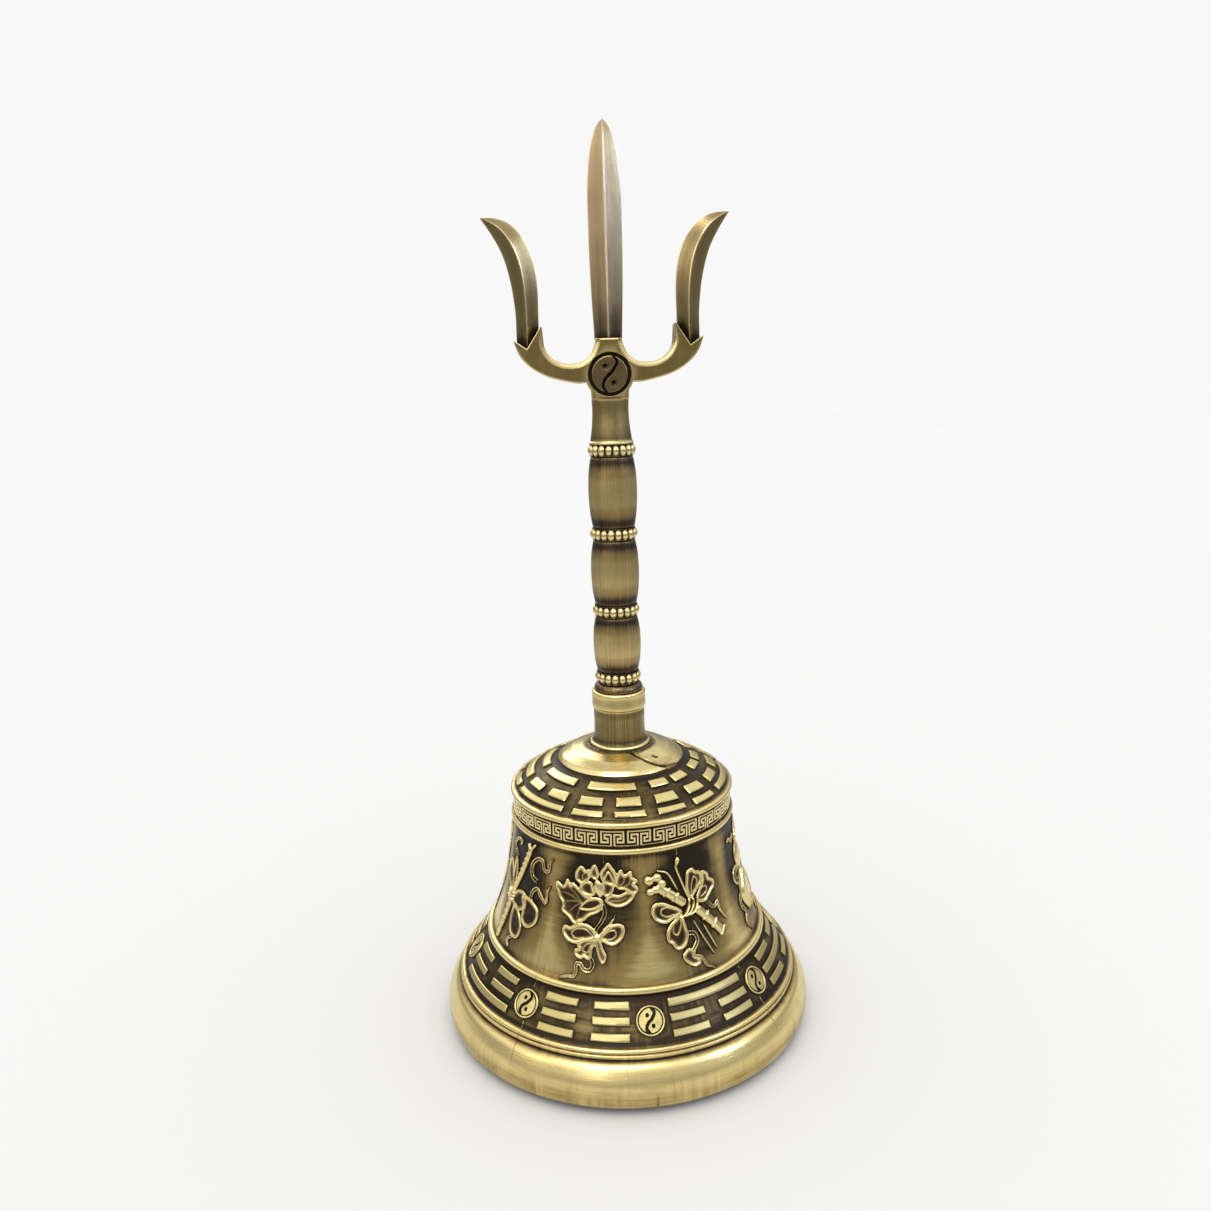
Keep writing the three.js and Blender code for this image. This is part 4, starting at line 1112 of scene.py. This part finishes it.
piece("solder_line", (solder_points.reshape(-1, 3), grid_faces(9, SOLDER_SIDES, True, True),
                      np.full(9 * SOLDER_SIDES, 0.35)), "bell", dark_brass)

band_brass = brass("band_brass", rubbed=(0.80, 0.64, 0.28, 1), body=(0.40, 0.31, 0.13, 1),
                   round_brush=0.5, upright_brush=0.7, smoothest=0.24, roughest=0.45, streak=0.45)
foot_band = piece(
    "foot_collar",
    turned([(BORE, band_low, 0), (6.45, band_low, 0.2), (6.8, band_low + 0.4, 0.35),
            (6.7, band_low + 2.2, 1.0), (6.75, band_high - 0.35, 0.35), (6.4, band_high, 0.2),
            (BORE, band_high, 0)], step=0.35, gain=2.2,
           wear=fading(0.55, 0.62, band_low, band_high)),
    "bell", band_brass)
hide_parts("foot_band")

shoulder = piece(
    "shoulder_cushion",
    turned([(BORE, shoulder_low, 0), (6.0, shoulder_low, 0.25), (6.15, shoulder_low + 0.5, 0.4),
            (5.9, shoulder_low + 1.3, 0.6), (5.3, shoulder_high - 0.15, 0.4),
            (4.9, shoulder_high, 0.2), (BORE, shoulder_high, 0)], step=0.3, gain=0.6,
           wear=fading(0.25, 0.42, shoulder_low, shoulder_high)),
    "bell", dark_brass)
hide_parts("cushion_shoulder")


# ---------------------------------------------------------------- the four beaded rings
# Cast rings that hold the barrels apart. Each is a dark waisted core between two thin lips, with
# a row of bright oval beads round it.
BEADS = 18
BEAD_COLUMNS = 12

bead_brass = brass("bead_brass", rubbed=(0.80, 0.65, 0.31, 1), body=(0.40, 0.29, 0.11, 1),
                   round_brush=0.3, upright_brush=0.3, smoothest=0.2, roughest=0.6, streak=0.1,
                   shelter_reach=0.0011)
for k in range(4):
    node = "bead_ring_" + str(k + 1)
    low, high = span(node)
    middle = (low + high) / 2
    outline = evenly(filleted([
        (BORE, low, 0), (5.15, low, 0.1), (5.3, low + 0.2, 0.15), (5.15, low + 0.42, 0.12),
        (4.75, middle, 0.9), (5.15, high - 0.42, 0.12), (5.35, high - 0.2, 0.15),
        (5.2, high, 0.1), (BORE, high, 0)]), 0.16)
    sides = BEADS * BEAD_COLUMNS
    angle = all_round(sides)
    radius, height = outline[:, :1] + 0 * angle, outline[:, 1:] + 0 * angle
    pitch = 2 * math.pi / BEADS
    bead = np.floor(angle / pitch).astype(int)
    sizes = np.array([dice.uniform(0.94, 1.04) for _ in range(BEADS)])[bead]
    aside = (angle - (bead + 0.5) * pitch) * 5.0
    round_top = 1 - (aside / (0.93 * sizes)) ** 2 - ((height - middle) / (1.32 * sizes)) ** 2
    swell = np.where((round_top > 0) & (radius > 4), np.sqrt(np.abs(round_top)), 0)
    beaded = np.maximum(radius, 4.72 + 1.08 * swell * sizes)
    beaded = np.where(radius > 4, beaded, radius)
    points = about_axis(beaded, height, angle)
    lip = np.abs(height - middle) > 1.2
    wear = np.where(swell > 0.02, np.interp(swell, [0, 0.45, 0.8], [0.1, 0.6, 0.95]),
                    np.where(lip, 0.17, 0.03))
    ring = piece("beads_" + str(k + 1),
                 (points.reshape(-1, 3), grid_faces(len(outline), sides, True, True),
                  wear.ravel()),
                 "bell", bead_brass, crease=50)
    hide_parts(node)


# ---------------------------------------------------------------- the three grip barrels
# Turned brass barrels between the rings. Their middles are rubbed bright and their ends are painted
# dark: patina the hand leaves there and painted shade where the ends turn from the light. The finish
# is drawn lengthwise.
barrel_brass = brass("barrel_brass", rubbed=(0.74, 0.58, 0.26, 1), body=(0.40, 0.28, 0.11, 1),
                     patina=(0.045, 0.03, 0.022, 1), round_brush=0.1, upright_brush=0.9,
                     smoothest=0.26, roughest=0.36, streak=0.8)
for place in ("lower", "middle", "upper"):
    node = "grip_barrel_" + place
    low, high = span(node)
    tall = high - low
    profile = [(BORE, low, 0), (4.95, low, 0.15), (5.15, low + 0.35, 0.3),
               (5.7, low + 0.2 * tall, 2.4), (6.0, low + 0.5 * tall, 4.5),
               (5.75, low + 0.8 * tall, 2.4), (5.2, high - 0.35, 0.3), (4.95, high, 0.15),
               (BORE, high, 0)]
    # The barrels' ends are painted dark: painted shade together with the patina left there.
    barrel = piece("barrel_" + place,
                   turned(profile, gain=0.8, wear=fading(0.03, 0.66, low, high, 0.24, 0.09)),
                   "bell", barrel_brass)
    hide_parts(node)


# ---------------------------------------------------------------- the neck
# A concave turned column between the top ring and the trident, with a thin lip at its foot.
neck_low, neck_high = span("neck")
neck_brass = brass("neck_brass", body=(0.27, 0.195, 0.08, 1), round_brush=0.2, upright_brush=0.75,
                   smoothest=0.26, roughest=0.46, streak=0.5)
neck = piece(
    "neck_column",
    turned([(BORE, neck_low, 0), (5.35, neck_low, 0.12), (5.4, neck_low + 0.35, 0.2),
            (5.05, neck_low + 0.7, 0.25), (4.55, 151.6, 2.2), (4.3, 155.6, 2.0),
            (4.45, neck_high, 0), (BORE, neck_high, 0)],
           wear=lambda r, z, a: np.interp(z, [neck_low, neck_low + 0.5, neck_low + 1.2, 152,
                                              neck_high - 1.5, neck_high],
                                          [0.7, 0.7, 0.3, 0.55, 0.5, 0.28]) + 0 * r * a),
    "bell", neck_brass)
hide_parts("neck")


# ---------------------------------------------------------------- the trident's bar
# A flat cast crescent, filed smooth on its faces and chamfered round its edge, most in the two
# hollows. A round recess in each face takes a roundel, and V sockets at the ends take the prongs.
bar_low, bar_high = (Vector(corner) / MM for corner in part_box("fork_crossbar"))
HALF_BAR = bar_high.y
FORK_FOOT = bar_low.z
BOSS_HEIGHT = 163.9
RECESS_RADIUS = 5.05
RECESS_DEPTH = 1.1
SOCKET = (19.1, 170.1)
STUMP_TOP = 172.1
# The steps of a broken edge: share of the chamfer inward, share of it down, wear.
BROKEN_EDGE = ((1.45, 0, 0.5), (1.0, 0, 0.95), (0.36, 0.22, 1.0), (0.0, 0.72, 0.6))
HOOP_SIDES = 72
RECESS_LIP = 0.14


def round_corners(points):
    """An outline of (x, z, fillet, chamfer) points with its corners rounded, and the chamfer at
    each point of the result."""
    line = filleted([point[:3] for point in points])
    given = np.array([point[:2] for point in points])
    sizes = np.array([point[3] for point in points])
    chamfer = []
    for place in line:
        weight = 1 / (np.sum((given - place) ** 2, axis=1) + 0.05)
        nearest = np.argsort(-weight)[:2]
        chamfer.append(np.sum(weight[nearest] * sizes[nearest]) / np.sum(weight[nearest]))
    return line, np.array(chamfer)


def inward(line):
    """The direction into a closed anticlockwise outline at each of its points, longer at corners so
    that an offset keeps its distance from both sides."""
    ahead = np.roll(line, -1, axis=0) - line
    ahead /= np.linalg.norm(ahead, axis=1)[:, None]
    behind = np.roll(ahead, 1, axis=0)
    normal = np.stack([-ahead[:, 1] - behind[:, 1], ahead[:, 0] + behind[:, 0]], axis=1)
    normal /= np.linalg.norm(normal, axis=1)[:, None]
    square = np.stack([-ahead[:, 1], ahead[:, 0]], axis=1)
    return normal / np.clip(np.sum(normal * square, axis=1), 0.45, 1)[:, None]


def flat_bar(line, chamfer, half_thickness, recess=None):
    """A flat bar in the XZ plane with a chamfered edge, and with a round recess in each face where
    one is given as (x, z, radius, depth)."""
    into = inward(line)
    rings, wear = [], []
    for side in (-1, 1):
        for share, depth, worn in BROKEN_EDGE:
            edge = line + into * (chamfer * share)[:, None]
            level = half_thickness - chamfer * depth
            rings.append(np.stack([edge[:, 0], side * level, edge[:, 1]], axis=1))
            wear.append(np.full(len(line), worn))
    count = len(line)
    rings[4:] = rings[4:][::-1]
    wear[4:] = wear[4:][::-1]
    points = np.concatenate(rings)
    faces = grid_faces(8, count, False, True).tolist()
    worn = np.concatenate(wear)
    mesh = bmesh.new()
    corners = [mesh.verts.new(point) for point in points]
    for face in faces:
        mesh.faces.new([corners[i] for i in face])
    mesh.verts.ensure_lookup_table()
    for first, side in ((0, -1), (7 * count, 1)):
        loop = corners[first:first + count]
        edges = [mesh.edges.get((a, b)) for a, b in zip(loop, loop[1:] + loop[:1])]
        if recess:
            x, z, radius, depth = recess
            hoops = []
            for reach, level in ((radius + RECESS_LIP, half_thickness),
                                 (radius, half_thickness - RECESS_LIP),
                                 (radius, half_thickness - depth)):
                hoops.append([mesh.verts.new((x + reach * math.sin(a), side * level,
                                              z + reach * math.cos(a)))
                              for a in all_round(HOOP_SIDES)])
            for outer, inner in zip(hoops, hoops[1:]):
                for i in range(HOOP_SIDES):
                    j = (i + 1) % HOOP_SIDES
                    mesh.faces.new((outer[i], outer[j], inner[j], inner[i]))
            mesh.faces.new(hoops[-1])
            worn = np.concatenate([worn, np.repeat([0.75, 0.5, 0.0], HOOP_SIDES)])
            edges += [mesh.edges.get((a, b)) for a, b in zip(hoops[0], hoops[0][1:] + hoops[0][:1])]
        bmesh.ops.triangle_fill(mesh, edges=edges, use_beauty=True)
    mesh.verts.index_update()
    part = (np.array([v.co[:] for v in mesh.verts]),
            [[v.index for v in face.verts] for face in mesh.faces], worn)
    mesh.free()
    return part


crossbar_right = [
    (7.4, 161.9, 1.0, 0.3), (10.4, 162.5, 3.0, 0.3), (14.4, 163.5, 3.0, 0.3),
    (17.8, 165.3, 3.0, 0.3), (20.9, 168.2, 2.0, 0.35), (22.15, 172.1, 0.3, 0.12),
    (SOCKET[0], SOCKET[1], 0, 0.18), (15.6, 175.3, 0.3, 0.12), (15.25, 170.2, 2.0, 0.75),
    (13.4, 167.7, 2.0, 0.85), (10.4, 166.4, 2.5, 0.9), (6.6, 166.6, 2.5, 0.9),
    (4.2, 168.4, 2.0, 0.9), (3.2, 171.0, 0.6, 0.9), (3.0, STUMP_TOP - 0.3, 0.05, 0.8),
    (3.0, STUMP_TOP, 0.05, 0.12),
]
boss_side = [(5.75 * math.sin(a), BOSS_HEIGHT - 5.75 * math.cos(a), 0, 0.25)
             for a in np.radians(np.arange(52, 73, 4))]
boss_side = [(4.35, FORK_FOOT, 0, 0.15), (4.4, FORK_FOOT + 1.6, 0.8, 0.22)] + boss_side
right_half = boss_side + crossbar_right
left_half = [(-x, z, fillet, chamfer) for x, z, fillet, chamfer in right_half[::-1]]
bar_line, bar_chamfer = round_corners(left_half + right_half)
fork_brass = brass("fork_brass", rubbed=(0.80, 0.64, 0.29, 1), body=(0.27, 0.19, 0.065, 1),
                   round_brush=0.25, upright_brush=0.75, smoothest=0.24, roughest=0.44,
                   streak=0.3, mottle=0.3)
crossbar = piece("crossbar", flat_bar(bar_line, bar_chamfer, HALF_BAR,
                                      (0, BOSS_HEIGHT, RECESS_RADIUS, RECESS_DEPTH)),
                 "bell", fork_brass, crease=24)
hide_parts("fork_crossbar")


# ---------------------------------------------------------------- the two roundels of the bar
# A cast disc let into each face, with a blackened groove round it, a sunk S line and two eyes.
ROUNDEL_EDGE = 4.3

disc_reach = np.concatenate([np.linspace(0.02, 4.0, 50), [4.08, 4.16, 4.24, ROUNDEL_EDGE]])
disc_turn = all_round(180)
face_reach, face_turn = np.meshgrid(disc_reach, disc_turn, indexing="ij")
face_x, face_z = face_reach * np.sin(face_turn), face_reach * np.cos(face_turn)
s_line = smooth_line([(x * 4.2, y * 4.2) for x, y in S_LINE])
s_width = 0.17 + 0.16 * np.clip(1 - np.hypot(face_x, face_z) / 4.2, 0, 1)
carved = 0.5 * np.exp(-(near(face_x, face_z, s_line) / s_width) ** 4)
for x, y in S_EYES:
    eye = np.hypot(face_x - x * 4.4, face_z - y * 4.4)
    carved = np.maximum(carved, 0.4 * np.exp(-(eye / 0.5) ** 4))
    carved = np.maximum(carved, 0.1 * np.exp(-((eye - 0.85) / 0.16) ** 2))
face_edge = np.interp(face_reach, [3.95, 4.2, ROUNDEL_EDGE], [0, 0.1, 0.4])
face_depth = 0.05 + carved + face_edge
face_wear = np.interp(carved, [0, 0.12, 0.3, 0.45], [0.36, 0.26, 0.05, 0.0])
face_wear = np.where(face_reach > 4.05, 0.6, face_wear)
roundel_brass = brass("roundel_brass", rubbed=(0.70, 0.56, 0.27, 1), body=(0.19, 0.135, 0.06, 1),
                      patina=(0.012, 0.008, 0.007, 1), round_brush=0.3, upright_brush=0.3,
                      smoothest=0.3, roughest=0.6, mottle=0.3, shelter_reach=0.0008)
for node, side in (("roundel_front", -1), ("roundel_back", 1)):
    rings, columns = face_reach.shape
    front = np.stack([-side * face_x, side * (HALF_BAR - face_depth), BOSS_HEIGHT + face_z], axis=2)
    rim = front[-1].copy()
    rim[:, 1] = side * (HALF_BAR - RECESS_DEPTH - 0.1)
    points = np.concatenate([front.reshape(-1, 3), rim])
    faces = np.concatenate([
        grid_faces(rings, columns, False, True),
        grid_faces(2, columns, False, True) + (rings - 1) * columns]).tolist()
    faces += [list(range(columns)), list(range(rings * columns, (rings + 1) * columns))]
    wear = np.concatenate([face_wear.ravel(), np.zeros(columns)])
    roundel = piece("taiji_" + node.split("_")[1], (points, faces, wear), "bell",
                    roundel_brass)
    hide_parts(node)


# ---------------------------------------------------------------- blade and prongs
# Forged and filed brass: each has flat faces that meet in a crisp ridge down the middle and a thin
# edge. The prongs stand in the bar's sockets with V-cut feet and curve outwards to a point.
RIDGE = 2.8
EDGE = 0.45


def ridged(left, right, ridge_share, darker_foot):
    """A blade between its two edge lines, with a ridge on each face. A share of 1 is the full
    height of the ridge."""
    left, right = np.array(left), np.array(right)
    share = np.array(ridge_share)[:, None]
    middle = (left + right) / 2
    across = (right - left) / 2
    # Across the blade, as (share of the half width, share of the edge's height, wear). Where the
    # height is None, the face slopes evenly up to the ridge.
    section = [(-1, 0.0, 0.75), (-1, 1, 0.8), (-0.93, 1.35, 0.55), (-0.5, None, 0.42),
               (-0.1, None, 0.5), (0, None, 1.0), (0.1, None, 0.5), (0.5, None, 0.42),
               (0.93, 1.35, 0.55), (1, 1, 0.8), (1, 0.0, 0.75)]
    columns, wear = [], []
    for side in (-1, 1):
        for reach, height, worn in section if side < 0 else section[::-1][1:-1]:
            place = middle + across * reach
            if height is None:
                level = (EDGE + (RIDGE - EDGE) * (1 - abs(reach))) * share
            else:
                level = EDGE * height * share
            columns.append(np.concatenate([place[:, :1], side * level, place[:, 1:]], axis=1))
            wear.append(np.full(len(left), worn) - darker_foot(place[:, 1]))
    points = np.stack(columns, axis=1)
    rows, count = points.shape[:2]
    return points.reshape(-1, 3), capped_faces(rows, count), np.stack(wear, axis=1).ravel()


def evenly_matched(points, count):
    """A smooth line through (x, z) points, cut at the same shares of its control points."""
    line = []
    for a, b, c, d in zip([2 * points[0] - points[1], *points], points, points[1:],
                          [*points[2:], 2 * points[-1] - points[-2]]):
        line += [spline(a, b, c, d, t) for t in np.arange(count) / count]
    return np.array([*line, points[-1]])


blade_brass = brass("blade_brass", rubbed=(0.76, 0.65, 0.45, 1), body=(0.44, 0.335, 0.19, 1),
                    patina=(0.05, 0.034, 0.026, 1), round_brush=0.1, upright_brush=0.7,
                    smoothest=0.14, roughest=0.24, streak=0.2, mottle=0.2)
blade_low, blade_high = (Vector(corner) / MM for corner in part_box("centre_blade"))
half_widths = [(STUMP_TOP, 3.25, 1), (176, 3.4, 1), (181, 3.6, 1), (190, 3.85, 1),
               (198, 3.92, 1), (204.5, 3.88, 1), (209, 3.6, 0.97), (212.6, 3.15, 0.9),
               (215.6, 2.5, 0.75), (217.8, 1.75, 0.55), (219.3, 0.85, 0.3),
               (blade_high.z, 0.06, 0.05)]
heights, halves, shares = (np.array(column) for column in zip(*half_widths))
blade_left = evenly_matched(np.stack([-halves, heights], axis=1), 5)
blade_right = evenly_matched(np.stack([halves, heights], axis=1), 5)
blade_share = evenly_matched(np.stack([shares, heights], axis=1), 5)[:, 0]
# The blade is made darker towards its foot, most of all just above the stump.
blade = piece("spear_blade",
              ridged(blade_left, blade_right, blade_share,
                     lambda z: 0.14 * np.clip(1 - (z - STUMP_TOP) / 9, 0, 1)
                     + 0.15 * np.clip((200 - z) / 24, 0, 1)),
              "bell", blade_brass, crease=12)
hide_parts("centre_blade")

prong_brass = brass("prong_brass", rubbed=(0.78, 0.65, 0.36, 1), body=(0.30, 0.225, 0.105, 1),
                    patina=(0.04, 0.03, 0.022, 1), round_brush=0.1, upright_brush=0.7,
                    smoothest=0.2, roughest=0.32, streak=0.25, mottle=0.25)
PRONG_INNER = [(16.35, 167.5), (16.3, 173), (16.2, 178), (16.15, 184), (16.7, 189.2),
               (18.0, 193.2), (19.9, 196.2), (22.4, 198.5), (25.4, 199.5), (28.45, 199.65)]
PRONG_OUTER = [(21.55, 167.5), (21.5, 173), (21.5, 178), (22.0, 183.4), (22.75, 187.4),
               (23.6, 190.5), (24.6, 193.0), (25.9, 195.4), (27.2, 197.5), (28.6, 199.55)]
PRONG_RIDGE = [1, 1, 1, 1, 1, 0.97, 0.88, 0.68, 0.42, 0.05]
for name, node, side in (("prong_left", "left_prong", -1), ("prong_right", "right_prong", 1)):
    inner = evenly_matched(np.array(PRONG_INNER) * [side, 1], 5)
    outer = evenly_matched(np.array(PRONG_OUTER) * [side, 1], 5)
    share = evenly_matched(np.stack([PRONG_RIDGE, np.arange(10.0)], axis=1), 5)[:, 0]
    # The prongs are painted dark at their feet: painted shadow where they stand in the bar's V
    # sockets.
    part = ridged(inner, outer, share, lambda z: 0.30 * np.clip(1 - (z - 170) / 8, 0, 1))
    prong = piece(name, part, "bell", prong_brass, crease=12)
    cut = bmesh.new()
    cut.from_mesh(prong.data)
    for leg in ((15.6, 175.3), (22.15, 172.1)):
        slope = Vector(((leg[0] - SOCKET[0]) * side, 0, leg[1] - SOCKET[1]))
        down = slope.cross(Vector((0, 1, 0)))
        down *= -1 if down.z > 0 else 1
        sliced = bmesh.ops.bisect_plane(
            cut, geom=cut.verts[:] + cut.edges[:] + cut.faces[:],
            plane_co=Vector((SOCKET[0] * side, 0, SOCKET[1] + 0.12)) * MM,
            plane_no=down, clear_outer=True)
        rim = [part for part in sliced["geom_cut"] if isinstance(part, bmesh.types.BMEdge)]
        bmesh.ops.triangle_fill(cut, edges=rim, use_beauty=True)
    bmesh.ops.recalc_face_normals(cut, faces=cut.faces)
    cut.to_mesh(prong.data)
    cut.free()
    prong.data.set_sharp_from_angle(angle=math.radians(12))
    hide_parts(node)


# ---------------------------------------------------------------- tie rod, washer and nut
# A threaded steel rod runs up the handle's bore and holds everything down on the crown, with a
# washer and a hexagon nut inside the bell. Its lower head carries the swivel.
steel = brass("steel", rubbed=(0.66, 0.66, 0.65, 1), body=(0.34, 0.335, 0.32, 1),
              patina=(0.09, 0.075, 0.06, 1), round_brush=0.8, upright_brush=0.1,
              smoothest=0.24, roughest=0.5, streak=0.3, mottle=0.4)
rod_low, rod_high = span("tie_rod")
washer_low, washer_high = span("crown_washer")
nut_low, nut_high = span("crown_nut")

thread = [(1.6 if k % 2 else 1.28, z, 0.08) for k, z in
          enumerate(np.arange(rod_low + 1.9, nut_low, 0.35))]
rod_profile = ([(0.001, rod_low, 0), (2.5, rod_low, 0.3), (2.8, rod_low + 0.4, 0.25),
                (2.8, rod_low + 1.35, 0.25), (2.5, rod_low + 1.6, 0.15), (1.6, rod_low + 1.6, 0)]
               + thread + [(1.6, nut_low + 0.4, 0), (1.6, rod_high - 0.4, 0.2),
                           (1.2, rod_high, 0), (0.001, rod_high, 0)])
tie_rod = piece("threaded_rod", turned(rod_profile, step=0.8, sides=40, gain=2.4), "bell",
                steel)
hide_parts("tie_rod")

washer = piece("washer",
               turned([(2.0, washer_low, 0.1), (6.3, washer_low, 0.3),
                       (6.5, washer_low + 0.35, 0.2), (6.5, washer_high, 0), (2.0, washer_high, 0)],
                      sides=72, gain=2.4), "bell", steel)
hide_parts("crown_washer")

NUT_SIDES = 72
NUT_FLATS = 4.6 * math.cos(math.radians(30))
nut_angle = all_round(NUT_SIDES)
from_flat = (nut_angle + math.radians(30)) % math.radians(60) - math.radians(30)
hexagon = NUT_FLATS / np.cos(from_flat)
nut_rows = [(2.0, nut_low + 0.3, 0.2), (2.3, nut_low, 0.6), (NUT_FLATS - 0.1, nut_low, 0.8),
            (4.25, nut_low + 0.25, 0.9), (4.45, nut_low + 0.5, 0.9), (9, nut_low + 0.9, 0.6),
            (9, nut_high - 0.9, 0.5), (4.45, nut_high - 0.5, 0.8), (NUT_FLATS - 0.1, nut_high, 0.4),
            (2.0, nut_high, 0.2)]
nut_points = np.array([[(min(r, h) * math.sin(a), -min(r, h) * math.cos(a), z)
                        for a, h in zip(nut_angle, hexagon)] for r, z, _ in nut_rows])
nut = piece("hex_nut", (nut_points.reshape(-1, 3),
                        grid_faces(len(nut_rows), NUT_SIDES, True, True),
                        np.repeat([w for _, _, w in nut_rows], NUT_SIDES)),
            "bell", steel, crease=24)
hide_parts("crown_nut")


# ---------------------------------------------------------------- the swivel
# A brass strap bent to a stirrup, which turns on the rod's head, and a steel pin peened over at
# both ends that the clapper hangs on.
pin_low, pin_high = (Vector(corner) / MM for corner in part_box("stirrup_pin"))
stirrup_low, stirrup_high = (Vector(corner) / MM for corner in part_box("swivel_stirrup"))
PIN_HEIGHT = (pin_low.z + pin_high.z) / 2
reach = stirrup_high.x
STRAP = 1.5
top, foot = stirrup_high.z, stirrup_low.z
stirrup_outline = [
    (-reach, foot, 0.3, 0.2), (-reach + STRAP, foot, 0.3, 0.2),
    (-reach + STRAP, top - STRAP, 0.5, 0.2), (reach - STRAP, top - STRAP, 0.5, 0.2),
    (reach - STRAP, foot, 0.3, 0.2), (reach, foot, 0.3, 0.2), (reach, top, 1.6, 0.25),
    (-reach, top, 1.6, 0.25),
]
stirrup_line, stirrup_chamfer = round_corners(stirrup_outline)
strap_brass = brass("strap_brass", body=(0.34, 0.24, 0.09, 1), round_brush=0.3,
                    upright_brush=0.6, smoothest=0.28, roughest=0.5, mottle=0.4)


def strap_part():
    """The strap's outline, drawn out to its width, with its edges broken."""
    into = inward(stirrup_line)
    half = stirrup_high.y
    rings, wear = [], []
    for level, offset, worn in ((-half, 0.16, 0.9), (-half + 0.16, 0, 0.7), (half - 0.16, 0, 0.7),
                                (half, 0.16, 0.9)):
        edge = stirrup_line + into * offset
        rings.append(np.stack([edge[:, 0], np.full(len(edge), level), edge[:, 1]], axis=1))
        wear.append(np.full(len(edge), worn))
    return (np.concatenate(rings), capped_faces(len(rings), len(stirrup_line)),
            np.concatenate(wear))


stirrup = piece("strap_stirrup", strap_part(), "swivel", strap_brass, crease=30)
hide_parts("swivel_stirrup")

pin_half = pin_high.x
pin_profile = [(0.001, -pin_half, 0), (0.8, -pin_half, 0.2), (1.35, -pin_half + 0.35, 0.2),
               (1.0, -pin_half + 0.5, 0.05), (1.0, pin_half - 0.5, 0.05),
               (1.35, pin_half - 0.35, 0.2), (0.8, pin_half, 0.2), (0.001, pin_half, 0)]
pin_points, pin_faces, pin_wear = turned(pin_profile, step=0.8, sides=32, gain=2.4)
pin_points = np.stack([pin_points[:, 2], pin_points[:, 1], pin_points[:, 0] + PIN_HEIGHT], axis=1)
pin = piece("cross_pin", (pin_points, pin_faces, pin_wear), "swivel", steel)
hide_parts("stirrup_pin")


# ---------------------------------------------------------------- the clapper
# A steel wire bent to an eye round the pin, with its end closed back on the stem, and a turned
# brass ball screwed on its foot.
ball_low, ball_high = span("clapper_ball")
BALL_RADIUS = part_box("clapper_ball")[1].x / MM
BALL_MIDDLE = ball_low + BALL_RADIUS
EYE_RADIUS = 2.3
WIRE = 0.95
STEM = 1.25


def swept(path, radii, sides=20):
    """A round bar along a path in the YZ plane, rounded off at both ends."""
    path = np.array(path, float)
    along = np.gradient(path, axis=0)
    along /= np.linalg.norm(along, axis=1)[:, None]
    aside = np.stack([0 * along[:, 0], -along[:, 2], along[:, 1]], axis=1)
    angle = all_round(sides)
    rings = [path[k] + radii[k] * (np.cos(angle)[:, None] * aside[k]
                                   + np.sin(angle)[:, None] * np.array([1.0, 0, 0]))
             for k in range(len(path))]
    points = np.concatenate(rings)
    return points, capped_faces(len(path), sides), np.full(len(points), 0.62)


eye_turn = np.radians(np.linspace(-98, 246, 60))
eye_path = [(0, EYE_RADIUS * math.cos(a), PIN_HEIGHT + EYE_RADIUS * math.sin(a)) for a in eye_turn]
eye_radii = WIRE * np.clip(np.minimum(np.arange(60) + 1, 60 - np.arange(60)) / 3, 0.3, 1)
stem_heights = np.concatenate([np.linspace(BALL_MIDDLE - 2, PIN_HEIGHT - EYE_RADIUS - 1.2, 20),
                               np.linspace(PIN_HEIGHT - EYE_RADIUS - 0.9,
                                           PIN_HEIGHT - EYE_RADIUS + 0.2, 5)])
stem_radii = np.concatenate([np.full(20, STEM), np.linspace(STEM * 0.98, WIRE * 0.7, 5)])
clapper_rod = piece("clapper_wire",
                    joined([swept(eye_path, eye_radii),
                            swept([(0, 0, z) for z in stem_heights], stem_radii)]),
                    "clapper", steel)
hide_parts("clapper_rod")

ball_arc = [(BALL_RADIUS * math.cos(a), BALL_MIDDLE + BALL_RADIUS * math.sin(a), 0)
            for a in np.radians(np.linspace(-74, 70, 37))]
ball_profile = ([(0.001, ball_low + 0.25, 0), (1.6, ball_low + 0.2, 0.2)] + ball_arc
                + [(2.2, BALL_MIDDLE + 6.75, 0.1), (2.2, BALL_MIDDLE + 6.95, 0.15),
                   (STEM + 0.02, BALL_MIDDLE + 6.95, 0), (STEM + 0.02, BALL_MIDDLE - 1.8, 0),
                   (0.001, BALL_MIDDLE - 1.8, 0)])
ball_brass = brass("ball_brass", round_brush=0.9, upright_brush=0.05, smoothest=0.22,
                   roughest=0.45, streak=0.45)
clapper_ball = piece("clapper_bob", turned(ball_profile, sides=64), "clapper",
                     ball_brass)
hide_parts("clapper_ball")
